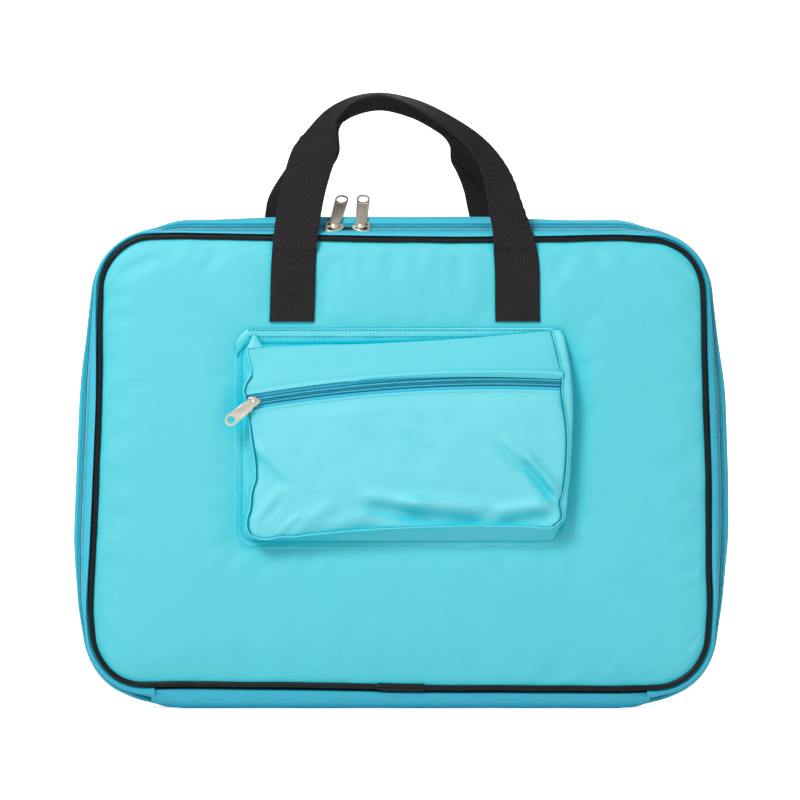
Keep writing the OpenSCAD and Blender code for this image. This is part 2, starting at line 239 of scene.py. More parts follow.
def woven(name, colour, pitch_x, pitch_y, depth, roughness, sheen=0.05, turn=0.0, patch=0.05, contrast=0.08,
          ior=1.4, grain=0.5, painted_shade_reach=0.030, painted_shade_power=2.2, deep=1.05):
    """Woven cloth: yarns in bump and colour, soft unevenness over the piece; above SHADED_IOR, painted shade
    where closed in.
    """
    material, tree, shader = shader_tree(name)
    place = add(tree, "ShaderNodeUVMap", uv_map="UVMap")
    weave = yarns(tree, place.outputs[0], pitch_x, pitch_y, turn)
    uneven = texture(tree, "ShaderNodeTexNoise", Scale=1 / patch, Detail=6)
    slub = texture(tree, "ShaderNodeTexNoise", Scale=480)
    shade = maths(tree, "ADD", maths(tree, "MULTIPLY", weave, grain), maths(
        tree, "ADD", maths(tree, "MULTIPLY", uneven.outputs["Fac"], 0.7), slub.outputs["Fac"]))
    colouring = tinted(tree, colour, maths(tree, "MULTIPLY", shade, 0.6), 1 - contrast, 1 + contrast)
    if ior > SHADED_IOR:
        # painted shade: a deeper, purer colour where the cloth is closed in
        closed = tree.nodes.new("ShaderNodeAmbientOcclusion")
        closed.samples = 8
        closed.inputs["Distance"].default_value = painted_shade_reach
        clear = maths(tree, "POWER", closed.outputs["AO"], painted_shade_power)
        mix = tree.nodes.new("ShaderNodeMix")
        mix.data_type = "RGBA"
        mix.inputs["A"].default_value = (0.0, deep * colour[1], 1.1 * deep * colour[2], 1)
        tree.links.new(clear, mix.inputs["Factor"])
        tree.links.new(colouring, mix.inputs["B"])
        colouring = mix.outputs["Result"]
    tree.links.new(colouring, shader.inputs["Base Color"])
    bump = add(tree, "ShaderNodeBump", Strength=0.5, Distance=depth)
    height = maths(tree, "ADD", weave, maths(tree, "MULTIPLY", slub.outputs["Fac"], 0.8))
    tree.links.new(height, bump.inputs["Height"])
    tree.links.new(bump.outputs[0], shader.inputs["Normal"])
    shader.inputs["Roughness"].default_value = roughness
    shader.inputs["Sheen Weight"].default_value = sheen
    shader.inputs["Sheen Roughness"].default_value = 0.4
    shader.inputs["IOR"].default_value = ior
    shader.inputs["Specular IOR Level"].default_value = 0.3
    # painted shade on the reflection too: specular and sheen fall away where the cloth is closed in
    if ior > SHADED_IOR:
        tree.links.new(clear, shader.inputs["Specular IOR Level"])
        tree.links.new(maths(tree, "MULTIPLY", clear, sheen), shader.inputs["Sheen Weight"])
    return material


def plated_metal(name, colour):
    """Plated zinc: bright, with fine tumbling marks and slightly duller patches."""
    material, tree, shader = shader_tree(name)
    patches = texture(tree, "ShaderNodeTexNoise", Scale=260, Detail=5)
    dull = add(tree, "ShaderNodeMapRange", To_Min=0.28, To_Max=0.42)
    tree.links.new(patches.outputs["Fac"], dull.inputs["Value"])
    tree.links.new(dull.outputs[0], shader.inputs["Roughness"])
    tree.links.new(tinted(tree, colour, patches.outputs["Fac"], 0.85, 1.05), shader.inputs["Base Color"])
    bump = add(tree, "ShaderNodeBump", Strength=0.15, Distance=0.00008)
    tree.links.new(patches.outputs["Fac"], bump.inputs["Height"])
    tree.links.new(bump.outputs[0], shader.inputs["Normal"])
    shader.inputs["Metallic"].default_value = 0.8
    return material


def nylon(name, colour, roughness=0.42):
    """Smooth nylon of the coils and threads, with a slight change of tone."""
    material, tree, shader = shader_tree(name)
    tone = texture(tree, "ShaderNodeTexNoise", Scale=90)
    tree.links.new(tinted(tree, colour, tone.outputs["Fac"], 0.88, 1.1), shader.inputs["Base Color"])
    shader.inputs["Roughness"].default_value = roughness
    return material


def foam(name, colour):
    """Open foam of the padding inside the panels."""
    material, tree, shader = shader_tree(name)
    cells = texture(tree, "ShaderNodeTexVoronoi", Scale=900)
    tree.links.new(tinted(tree, colour, cells.outputs["Distance"], 0.8, 1.05), shader.inputs["Base Color"])
    shader.inputs["Roughness"].default_value = 0.9
    return material


MATERIALS = {}


def material(name):
    """The material of that name, made the first time it is asked for."""
    if name not in MATERIALS:
        colours = bpy.context.scene.case_colours
        pitch = bpy.context.scene.case_sizes.weave_pitch
        # the cloths of the panels, gusset, pocket and zip tape are above SHADED_IOR and get painted shade
        # where closed in
        makers = {
            "case_cloth": lambda: woven("case_cloth", tuple(colours.cloth), pitch, pitch, 0.00016, 0.6,
                                        ior=1.62),
            "gusset_cloth": lambda: woven(
                "gusset_cloth", tuple(colours.gusset), pitch, pitch, 0.00016, 0.6, ior=1.5, painted_shade_reach=0.008,
                painted_shade_power=1.6, deep=0.9),
            # painted light: the panels' cloth, made brighter for the pocket where it is lit more
            "pocket_cloth": lambda: woven(
                "pocket_cloth", tuple(colours.pocket), pitch, pitch, 0.00016, 0.6, ior=1.75, painted_shade_power=6,
                deep=0.86),
            "lining": lambda: woven("lining", tuple(colours.lining), pitch * 0.6, pitch * 0.6, 0.0001, 0.6),
            "piping": lambda: woven(
                "piping", tuple(colours.piping), 0.0007, 0.0012, 0.0001, 0.42, 0.05, math.radians(45), 0.02,
                0.25),
            "zip_tape": lambda: woven(
                "zip_tape", tuple(colours.tape), 0.0009, 0.0005, 0.00012, 0.6, ior=1.5, painted_shade_reach=0.003,
                painted_shade_power=1.0),
            "webbing": lambda: woven(
                "webbing", tuple(colours.webbing), 0.0021, 0.0015, 0.0007, 0.75, 0.05, math.radians(24),
                0.03, 0.95,
                grain=0.9),
            "zip_coil": lambda: nylon("zip_coil", tuple(colours.coil)),
            "pocket_coil": lambda: nylon("pocket_coil", tuple(0.62 * c for c in colours.tape), 0.55),
            "cloth_thread": lambda: nylon("cloth_thread", tuple(0.95 * c for c in colours.pocket), 0.6),
            # the hem's stitches, and also the painted shadow under the pocket zip's upper fold
            "hem_thread": lambda: nylon("hem_thread", tuple(0.5 * c for c in colours.cloth), 0.6),
            # a thread as dark as shade: it draws painted shade lines by the coils and the pocket's welt
            "seam_thread": lambda: nylon("seam_thread", tuple(0.24 * c for c in colours.gusset), 0.7),
            "black_thread": lambda: nylon("black_thread", tuple(0.75 * c for c in colours.webbing), 0.5),
            # painted shade and dark reflection: a dark plate in a slider's hollow, where the real one is bare
            # metal
            "slider_recess": lambda: nylon("slider_recess", srgb(34, 32, 32), 0.35),
            "padding": lambda: foam("padding", srgb(216, 216, 212)),
            "slider_metal": lambda: plated_metal("slider_metal", tuple(colours.metal)),
        }
        MATERIALS[name] = makers[name]()
    return MATERIALS[name]


# ---------------------------------------------------------------------------
# Meshes and pieces


def half_of(front):
    """Name, side through the depth and body of the front or the back half of the case."""
    return ("front", -1, "lid") if front else ("back", 1, "base")


def linked(name, data):
    """A new object of that data, in the scene."""
    piece = bpy.data.objects.new(name, data)
    bpy.context.collection.objects.link(piece)
    return piece


def deselect():
    """Nothing selected and nothing active, so that an operator acts only on what comes next."""
    bpy.ops.object.select_all(action="DESELECT")
    bpy.context.view_layer.objects.active = None


def select_only(piece):
    """That one object selected and active."""
    deselect()
    piece.select_set(True)
    bpy.context.view_layer.objects.active = piece


def apply_modifier(piece, kind, **settings):
    """A modifier added to the piece and applied."""
    select_only(piece)
    modifier = piece.modifiers.new(kind.title(), kind)
    for key, value in settings.items():
        setattr(modifier, key, value)
    bpy.ops.object.modifier_apply(modifier=modifier.name)


def outwards(piece):
    """The faces of a closed piece turned outwards."""
    select_only(piece)
    bpy.ops.object.mode_set(mode="EDIT")
    bpy.ops.mesh.select_all(action="SELECT")
    bpy.ops.mesh.normals_make_consistent(inside=False)
    bpy.ops.object.mode_set(mode="OBJECT")


def smooth(piece, angle=40):
    """Smooth shading, with edges sharper than the angle left crisp."""
    select_only(piece)
    bpy.ops.object.shade_smooth_by_angle(angle=math.radians(angle))


def closed(piece, angle):
    """A closed piece with its faces turned outwards and its shading smooth."""
    outwards(piece)
    smooth(piece, angle)


def made_thick(piece, thickness, offset, angle):
    """A sheet given its thickness, then treated as a closed piece."""
    apply_modifier(piece, "SOLIDIFY", thickness=thickness, offset=offset)
    closed(piece, angle)


def finish(piece, body, slot, nodes=(), looks=None):
    """Gives a piece its look's material, else its slot's, and its body, and hides the nodes it stands for."""
    if looks is not None or not piece.data.materials:
        piece.data.materials.clear()
        piece.data.materials.append(material(looks or slot))
    if body is not None:
        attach(piece, body)
    if nodes:
        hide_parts(*nodes)
    return piece


def loft(name, rows, ring=False, loop=False):
    """A surface through rows of points, its UV map in metres; ring closes each row, loop the whole."""
    rows = np.asarray(rows, float)
    count, width = rows.shape[:2]
    across = np.concatenate([rows, rows[:, :1]], axis=1) if ring else rows
    along = np.concatenate([rows, rows[:1]]) if loop else rows
    v = np.cumsum(np.linalg.norm(np.diff(across, axis=1), axis=2), axis=1)
    v = np.concatenate([np.zeros((count, 1)), v], axis=1)
    if loop:
        v = np.concatenate([v, v[:1]])
    u = np.concatenate([[0], np.cumsum(np.linalg.norm(np.diff(along, axis=0), axis=2).mean(axis=1))])
    faces, corners = [], []
    for i in range(count if loop else count - 1):
        for j in range(width if ring else width - 1):
            near, far, side = (i + 1) % count, (j + 1) % width, width
            faces.append((i * side + j, near * side + j, near * side + far, i * side + far))
            corners += [(u[i], v[i, j]), (u[i + 1], v[i + 1, j]), (u[i + 1], v[i + 1, j + 1]),
                        (u[i], v[i, j + 1])]
    if ring and not loop:
        for row, order in ((0, 1), (count - 1, -1)):
            ends = [row * width + j for j in range(width)][::order]
            faces.append(tuple(ends))
            corners += [(rows[row, k % width, 0], rows[row, k % width, 2]) for k in ends]
    mesh = bpy.data.meshes.new(name)
    mesh.from_pydata(rows.reshape(-1, 3).tolist(), [], faces)
    layer = mesh.uv_layers.new(name="UVMap")
    layer.data.foreach_set("uv", np.array(corners, np.float32).ravel())
    mesh.update()
    return linked(name, mesh)


def rounded_line(points, rounds=2):
    """A broken line with its corners cut rounds times over, its ends kept."""
    points = np.asarray(points, float)
    for _ in range(rounds):
        near = points[:-1] * 0.75 + points[1:] * 0.25
        far = points[:-1] * 0.25 + points[1:] * 0.75
        inner = np.stack([near, far], axis=1).reshape(-1, points.shape[1])
        points = np.concatenate([points[:1], inner[1:-1], points[-1:]])
    return points


def along_line(points, count):
    """count points evenly spaced along a broken line."""
    points = np.asarray(points, float)
    length = np.concatenate([[0], np.cumsum(np.linalg.norm(np.diff(points, axis=0), axis=1))])
    return np.stack([np.interp(np.linspace(0, length[-1], count), length, points[:, k])
                     for k in range(points.shape[1])], axis=1)


def thick_section(line, thickness):
    """A closed section round an open line: the line itself and a copy one thickness to its right."""
    line = np.asarray(line, float)
    step = np.gradient(line, axis=0)
    step /= np.linalg.norm(step, axis=1)[:, None]
    side = np.stack([-step[:, 1], step[:, 0]], axis=1) * thickness
    return np.concatenate([line, (line + side)[::-1]])


def ease(value):
    """Smooth step from 0 to 1."""
    value = np.clip(value, 0, 1)
    return value * value * (3 - 2 * value)


def ripple(x, y, z, size):
    """Even noise between -1 and 1 about, with features of that size."""
    return noise.noise(Vector((x / size, y / size, z / size)))


def stamp(name, template, places):
    """Copies of a small template mesh at each 4 by 4 place, as one piece."""
    points = np.array([v.co for v in template.vertices])
    faces = [tuple(p.vertices) for p in template.polygons]
    hom = np.concatenate([points, np.ones((len(points), 1))], axis=1)
    verts, cells = [], []
    for k, place in enumerate(places):
        verts.append((hom @ np.asarray(place).T)[:, :3])
        cells += [tuple(v + k * len(points) for v in face) for face in faces]
    mesh = bpy.data.meshes.new(name)
    mesh.from_pydata(np.concatenate(verts).tolist(), [], cells)
    mesh.update()
    piece = linked(name, mesh)
    select_only(piece)
    bpy.ops.object.shade_smooth()
    return piece


def place_of(origin, x_axis, y_axis, z_axis):
    """A 4 by 4 place from an origin and three axes."""
    place = np.eye(4)
    for column, axis in enumerate((x_axis, y_axis, z_axis)):
        place[:3, column] = axis
    place[:3, 3] = origin
    return place


def stitch_template(length, radius):
    """One stitch: a short thread that dips into the cloth at both ends."""
    deselect()
    bpy.ops.mesh.primitive_uv_sphere_add(segments=6, ring_count=5, radius=1)
    thread = bpy.context.object
    for vertex in thread.data.vertices:
        x, y, z = vertex.co
        vertex.co = (z * length / 2, y * radius, x * radius * 0.8 - (z * z) * radius * 0.5)
    mesh = thread.data
    bpy.data.objects.remove(thread)
    return mesh


def stitches(name, points, normals, pitch=0.0036, length=0.0028, radius=0.00032):
    """A row of stitches along points, each lying on the surface with that normal."""
    points, normals = np.asarray(points, float), np.asarray(normals, float)
    gaps = np.linalg.norm(np.diff(points, axis=0), axis=1)
    run = np.concatenate([[0], np.cumsum(gaps)])
    count = max(2, int(run[-1] / pitch))
    at = (np.arange(count) + 0.5) * run[-1] / count
    spots = np.stack([np.interp(at, run, points[:, k]) for k in range(3)], axis=1)
    ups = np.stack([np.interp(at, run, normals[:, k]) for k in range(3)], axis=1)
    ahead = np.stack([np.interp(at + pitch / 4, run, points[:, k]) for k in range(3)], axis=1) - np.stack(
        [np.interp(at - pitch / 4, run, points[:, k]) for k in range(3)], axis=1)
    places = []
    for spot, up, run_dir in zip(spots, ups, ahead):
        along = run_dir / np.linalg.norm(run_dir)
        up = up - along * np.dot(up, along)
        up /= np.linalg.norm(up)
        places.append(place_of(spot, along, np.cross(up, along), up))
    return stamp(name, stitch_template(length, radius), places)


# ---------------------------------------------------------------------------
# The rim of the case: a rounded rectangle, walked from the middle of the underside towards +X


def rim_sizes():
    """Corner radius, the two straight half lengths and the length of the whole rim."""
    radius = bpy.context.scene.case_sizes.corner_radius
    across, up = HALF_W - radius, HALF_H - radius
    return radius, across, up, 4 * across + 4 * up + 2 * math.pi * radius


def rim(distance):
    """Point of the panels' edge at that distance and the outward direction there, both as (x, z)."""
    radius, across, up, total = rim_sizes()
    quarter = math.pi * radius / 2
    distance %= total
    legs = ((across, None), (quarter, (across, -up, -90)), (2 * up, None), (quarter, (across, up, 0)),
            (2 * across, None), (quarter, (-across, up, 90)), (2 * up, None), (quarter, (-across, -up, 180)),
            (across, None))
    starts = {0: ((0, -HALF_H), (1, 0)), 2: ((HALF_W, -up), (0, 1)), 4: ((across, HALF_H), (-1, 0)),
              6: ((-HALF_W, up), (0, -1)), 8: ((-across, -HALF_H), (1, 0))}
    for leg, (length, corner) in enumerate(legs):
        if distance <= length or leg == 8:
            break
        distance -= length
    if corner is None:
        (x, z), (dx, dz) = starts[leg]
        return np.array([x + dx * distance, z + dz * distance]), np.array([dz, -dx])
    cx, cz, start = corner
    angle = math.radians(start) + distance / radius
    out = np.array([math.cos(angle), math.sin(angle)])
    return np.array([cx, cz]) + radius * out, out


def bulge_share(distance):
    """Share of the gusset's full bulge: least at the corners, where the cloth is pulled tight."""
    radius, across, up, _ = rim_sizes()
    (x, z), _ = rim(distance)
    corner = math.pi * radius / 4
    on_side = abs(x) > across and abs(z) <= up
    past = (up - abs(z) if on_side else across - abs(x)) + corner
    if abs(x) > across and abs(z) > up:
        past = abs(math.atan2(abs(z) - up, abs(x) - across) - math.pi / 4) * radius
        on_side = abs(x) - across > abs(z) - up
    reach = 0.165 if on_side else 0.085
    least = bpy.context.scene.case_sizes.corner_bulge
    return least + (1.0 - least) * float(ease((past - 0.02) / (reach - 0.02)))


# How far the stuffed case bows out of its even outline: place along the edge and offset to +X or +Z
LEFT_BOW = ((0.050, 0.0010), (0.105, -0.0038), (0.180, 0.0), (0.260, 0.0034), (0.330, 0.0063),
            (0.430, 0.0066), (0.455, 0.0080))
RIGHT_BOW = ((0.050, -0.0018), (0.115, 0.0018), (0.150, 0.0002), (0.240, 0.0003), (0.380, -0.0044),
             (0.430, -0.0048), (0.460, -0.0060))
TOP_BOW = ((-0.310, 0.0030), (-0.240, 0.0056), (-0.150, 0.0038), (0.050, 0.0011), (0.160, 0.0020),
           (0.230, 0.0037), (0.290, 0.0004))
LOW_BOW = ((-0.306, 0.0040), (-0.230, 0.0058), (-0.050, 0.0036), (0.000, 0.0020), (0.230, 0.0011),
           (0.300, 0.0030))


def bow(x, z):
    """Offset to +X and +Z of a place on the panels, none in their middle and most at their edge."""
    side, end = (LEFT_BOW if x < 0 else RIGHT_BOW), (TOP_BOW if z > MIDDLE_Z else LOW_BOW)
    dx, dz = (np.mean([np.interp(at + shift, *zip(*table)) for shift in (-0.012, -0.006, 0, 0.006, 0.012)])
              for at, table in ((z, side), (x, end)))
    return (dx * float(ease((abs(x) / HALF_W - 0.60) / 0.36)),
            dz * float(ease((abs(z - MIDDLE_Z) / HALF_H - 0.55) / 0.40)))


def in_rim(distance, u, y):
    """World point at u out from the panels' edge and y through the depth; the zip keeps its straight top."""
    (x, z), out = rim(distance)
    dx, dz = bow(x, MIDDLE_Z + z)
    return np.array([x + out[0] * u + dx, y,
                     MIDDLE_Z + z + out[1] * u + dz * min(max(1.5 - u / 0.006, 0), 1)])


def rim_steps(start, end, step=0.0045):
    """Distances from start to end, evenly spaced."""
    return np.linspace(start, end, max(2, int(round((end - start) / step)) + 1))


STRIP_ROOT = (0.0008, -0.0275)  # where the front strip leaves the piping


def zip_face(distance):
    """Middle of the zip (u, y), the direction across it and its outward normal, at that distance."""
    share = bulge_share(distance)
    middle = np.array([(BULGE - 0.009) * share, -(FACE_Y - 0.0127)])
    across = middle - np.array(STRIP_ROOT)
    across /= np.linalg.norm(across)
    return middle, across, np.array([across[1], -across[0]])


def on_zip(distance, s, n):
    """World point s across and n out of the zip face."""
    middle, across, normal = zip_face(distance)
    u, y = middle + across * s + normal * n
    return in_rim(distance, u, y)


def off_floor(point, lift=0.0002):
    """The point, raised to the floor where the cloth would sag through it."""
    return (point[0], point[1], max(point[2], lift))


def zip_axes(distance):
    """World directions along the zip, across it and out of it."""
    _, across, normal = zip_face(distance)
    out = rim(distance)[1]
    outward = np.array([out[0], 0, out[1]])
    depth = np.array([0, 1, 0])
    side = outward * across[0] + depth * across[1]
    up = outward * normal[0] + depth * normal[1]
    return np.cross(side, up), side, up


# ---------------------------------------------------------------------------
# Panels


def panel_depth(x, z):
    """How far the cloth of a panel stands out from the middle of the case at (x, z)."""
    radius = rim_sizes()[0]
    dx = abs(x) - (HALF_W - radius)
    dz = abs(z - MIDDLE_Z) - (HALF_H - radius)
    outside = math.hypot(max(dx, 0), max(dz, 0)) + min(max(dx, dz), 0) - radius
    inside = max(-outside - 0.0045, 0)
    roll = 0.0030 * (1 - math.exp(-inside / 0.006))
    pillow = 1 - (1 - min(inside / 0.16, 1)) ** 2
    return FACE_Y - 0.0030 + roll + bpy.context.scene.case_sizes.crown * pillow


def panel_grid(inset, columns, rows, depth_at):
    """Rows of points over a rounded panel; each column runs from its lower to its upper edge."""
    radius = rim_sizes()[0] - inset
    half_w, half_h = HALF_W - inset, HALF_H - inset
    grid = []
    for angle in np.linspace(-1, 1, columns):
        x = half_w * math.sin(angle * math.pi / 2) * 0.35 + half_w * angle * 0.65
        over = max(abs(x) - (half_w - radius), 0)
        top = half_h - radius + math.sqrt(max(radius * radius - over * over, 0))
        line = []
        for share in np.linspace(-1, 1, rows):
            z = MIDDLE_Z + top * (0.8 * share + 0.2 * math.sin(share * math.pi / 2))
            dx, dz = bow(x, z)
            line.append((x + dx, depth_at(x, z), z + dz))
        grid.append(line)
    return np.array(grid)


PUFF_KEPT = 0.55  # share of the cloth's movement that is kept
SEWN_BAND = 0.012  # width of the panel's edge that the seam holds flat
HELD_ROUND = 0.004  # how far past a sewn piece the panel is held


def puffed(piece, pinned, limit, pressure, frames=20):
    """Runs cloth on the piece, its pinned points held, and keeps a share of it within the limit."""
    start = np.array([v.co for v in piece.data.vertices])
    group = piece.vertex_groups.new(name="sewn")
    for index, weight in enumerate(pinned):
        if weight > 0:
            group.add([index], float(weight), "REPLACE")
    cloth = piece.modifiers.new("Cloth", "CLOTH")
    settings = cloth.settings
    settings.quality = 6
    settings.mass = 0.25
    settings.tension_stiffness = settings.compression_stiffness = 20
    settings.shear_stiffness = 8
    settings.bending_stiffness = 0.4
    settings.vertex_group_mass = group.name
    settings.shrink_min = -0.012
    settings.use_pressure = True
    settings.uniform_pressure_force = pressure
    settings.effector_weights.gravity = 0
    cloth.collision_settings.use_collision = False
    cloth.point_cache.frame_end = frames
    scene = bpy.context.scene
    for number in range(1, frames + 1):
        scene.frame_set(number)
    shaped = piece.evaluated_get(bpy.context.evaluated_depsgraph_get())
    moved = np.array([v.co for v in shaped.data.vertices]) - start
    piece.modifiers.remove(cloth)
    piece.vertex_groups.remove(group)
    scene.frame_set(1)
    far = np.linalg.norm(moved, axis=1)[:, None]
    moved *= PUFF_KEPT * np.minimum(1, limit / np.maximum(far, 1e-9))
    piece.data.vertices.foreach_set("co", (start + moved).astype(np.float32).ravel())
    piece.data.update()


def held_places(front):
    """Boxes (low x, high x, low z, high z) of what is sewn to a panel and keeps it flat."""
    name = "front" if front else "back"
    low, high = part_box(f"{name}_handle_ends")
    width = bpy.context.scene.handle_sizes.width
    places = [(low[0], low[0] + width, low[2], high[2]), (high[0] - width, high[0], low[2], high[2])]
    if front:
        places.append((HEM_LOW.x, HEM_HIGH.x, HEM_LOW.z, HEM_HIGH.z))
    return places


def panel_cloth(front):
    """The outer cloth of a panel, padded from behind and held by what is sewn to it."""
    name, side, body = half_of(front)
    inset = 0.0035
    columns, rows = 141, 105
    grid = panel_grid(inset, columns, rows, lambda x, z: side * panel_depth(x, z))
    if not front:
        grid = grid[::-1]
    piece = loft(f"{name}_panel_cloth", grid)
    pinned = []
    for x, _, z in grid.reshape(-1, 3):
        edge = max(abs(x) - (HALF_W - SEWN_BAND), abs(z - MIDDLE_Z) - (HALF_H - SEWN_BAND))
        radius = rim_sizes()[0]
        dx, dz = abs(x) - (HALF_W - radius), abs(z - MIDDLE_Z) - (HALF_H - radius)
        if dx > 0 and dz > 0:
            edge = max(edge, math.hypot(dx, dz) - (radius - SEWN_BAND))
        hold = 1.0 if edge > 0 else 0.0
        for low_x, high_x, low_z, high_z in held_places(front):
            away = max(low_x - x, x - high_x, low_z - z, z - high_z)
            hold = max(hold, 1.0 if away < HELD_ROUND else 0.0)
        pinned.append(hold)
    puffed(piece, pinned, 0.0035, 1.2)
    drape = np.array([v.co for v in piece.data.vertices])
    for point in drape:
        x, _, z = point
        edge = min(HALF_W - abs(x), HALF_H - abs(z - MIDDLE_Z))
        tuck = 0.0007 * math.exp(-edge / 0.02) * ripple(x, 3 if front else 7, z, 0.016)
        point[1] += side * (tuck + 0.0006 * ripple(x, 11 if front else 17, z, 0.075) * ease(edge / 0.05))
    piece.data.vertices.foreach_set("co", drape.astype(np.float32).ravel())
    apply_modifier(piece, "SOLIDIFY", thickness=0.0013, offset=-1.0, use_even_offset=True)
    smooth(piece, 60)
    finish(piece, body, "case_cloth", [f"{name}_panel"])


def panel_lining(front):
    """The lining of a panel, with a bound seam all round."""
    name, side, body = half_of(front)
    inset = 0.006

    def depth_at(x, z):
        edge = min(HALF_W - abs(x), HALF_H - abs(z - MIDDLE_Z))
        sag = 0.0007 * ripple(x, 23 if front else 29, z, 0.09) + 0.0004 * ripple(x, 31, z, 0.03)
        return side * (LINING_Y + 0.0004 + sag * float(ease(edge / 0.06)))

    grid = panel_grid(inset, 81, 61, depth_at)
    if front:
        grid = grid[::-1]
    piece = loft(f"{name}_lining_cloth", grid)
    apply_modifier(piece, "SOLIDIFY", thickness=0.0007, offset=-1.0)
    smooth(piece, 60)
    finish(piece, body, "lining", [f"{name}_lining"])
    total = rim_sizes()[3]
    rows = []
    for distance in rim_steps(0, total, 0.006)[:-1]:
        wave = 0.0004 * ripple(*in_rim(distance, 0, 41 * side), 0.02)
        line = [(-0.016, LINING_Y - 0.0004), (-0.0158, LINING_Y - 0.0013), (-0.010, LINING_Y - 0.0016),
                (-0.0035, LINING_Y - 0.0013), (-0.0028, LINING_Y + 0.0004)]
        rows.append([in_rim(distance, u + wave, side * y) for u, y in thick_section(line, -0.0006)])
    binding = loft(f"{name}_seam_binding", rows, ring=True, loop=True)
    closed(binding, 50)
    finish(binding, body, "lining", looks="piping")


def padding_sheet(front):
    """The sheet of foam between a panel's cloth and its lining."""
    name, side, body = half_of(front)
    grid = panel_grid(0.0085, 61, 45, lambda x, z: side * (LINING_Y + 0.0028))
    if not front:
        grid = grid[::-1]
    piece = loft(f"{name}_padding_foam", grid)
    apply_modifier(piece, "SOLIDIFY", thickness=0.0015, offset=0.0)
    smooth(piece, 40)
    finish(piece, body, "padding", [f"{name}_padding"])


class CASE_OT_panels(bpy.types.Operator):
    """Add the two padded panels and their linings"""

    bl_idname = "case.panels"
    bl_label = "Panels"

    def execute(self, context):
        for front in (True, False):
            panel_cloth(front)
            panel_lining(front)
            padding_sheet(front)
        return {"FINISHED"}


# ---------------------------------------------------------------------------
# Piping


def piping(front):
    """The piping cord in its bias tape, a little uneven where the seam pulls it."""
    name, side, body = half_of(front)
    radius = bpy.context.scene.case_sizes.piping_radius
    middle = FACE_Y - radius + 0.0005
    total = rim_sizes()[3]
    rows = []
    for distance in rim_steps(0, total, 0.004)[:-1]:
        spot = in_rim(distance, 0, side)
        fat = radius * (1 + 0.05 * ripple(*spot, 0.012))
        drift = 0.0005 * ripple(*spot, 0.05)
        dent = 0.0003 * ripple(*(spot + 5), 0.018)
        section = []
        for angle in np.linspace(-math.pi * 0.78, math.pi * 0.78, 15):
            section.append((-radius + drift + fat * math.sin(angle), middle + dent + fat * math.cos(angle)))
        section += [(-radius - 0.0012, middle - 0.0052), (-radius + 0.0012, middle - 0.0052)][::-1]
        rows.append([in_rim(distance, u, side * y) for u, y in section])
    piece = loft(f"{name}_piping_cord", rows, ring=True, loop=True)
    closed(piece, 50)
    finish(piece, body, "piping", [f"{name}_piping"])


def piping_sleeve(front):
    """The short lap of tape over the join of the piping."""
    name, side, body = half_of(front)
    low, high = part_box(f"{name}_piping_sleeve")
    radius = bpy.context.scene.case_sizes.piping_radius
    middle = FACE_Y - radius + 0.0005
    total = rim_sizes()[3]
    rows = []
    for x in np.linspace(low[0], high[0], 26):
        end = min(x - low[0], high[0] - x)
        fat = radius + 0.0003 + 0.0007 * float(ease(end / 0.002)) + 0.0001 * ripple(x, 0, side, 0.005)
        section = [(-radius + fat * math.sin(a), middle + fat * math.cos(a))
                   for a in np.linspace(-math.pi * 0.62, math.pi * 0.62, 17)]
        rows.append([in_rim(x % total, u, side * y) for u, y in section])
    piece = loft(f"{name}_piping_lap", rows)
    made_thick(piece, 0.0004, 0.0, 50)
    finish(piece, body, "piping", [f"{name}_piping_sleeve"])


class CASE_OT_piping(bpy.types.Operator):
    """Add the piping round both panels"""

    bl_idname = "case.piping"
    bl_label = "Piping"

    def execute(self, context):
        for front in (True, False):
            piping(front)
            piping_sleeve(front)
        return {"FINISHED"}


# ---------------------------------------------------------------------------
# Gusset and main zip


def zip_edge():
    """Distance from the middle of the zip to the folded edge of the cloth beside it."""
    return bpy.context.scene.zip_sizes.coil_width / 2 + 0.0017


def zip_span():
    """Where the main zip starts and ends along the rim."""
    return ZIP_END_X, rim_sizes()[3] - ZIP_END_X


def cloth_wave(distance, depth):
    """Soft unevenness of the gusset's cloth."""
    spot = in_rim(distance, 0.01, depth)
    return 0.0007 * ripple(*spot, 0.06) + 0.00035 * ripple(*(spot + 3), 0.014)


def front_strip_line(distance):
    """Section of the front strip from the piping to its fold beside the zip."""
    middle, across, normal = zip_face(distance)
    thick = bpy.context.scene.case_sizes.strip_thickness
    wave = cloth_wave(distance, -0.025)
    edge = -zip_edge()
    fold = middle + across * (edge + 0.0003 * ripple(distance, 0, 1, 0.02))
    root = np.array(STRIP_ROOT)
    points = [root + normal * 0.0004, root + across * 0.0022 + normal * (0.0016 + wave),
              fold - across * 0.0016 + normal * (thick + 0.0003 + wave * 0.5), fold + normal * thick,
              fold + across * 0.0004 + normal * thick * 0.5, fold + normal * 0.0001]
    return along_line(rounded_line(points, 2), 12)


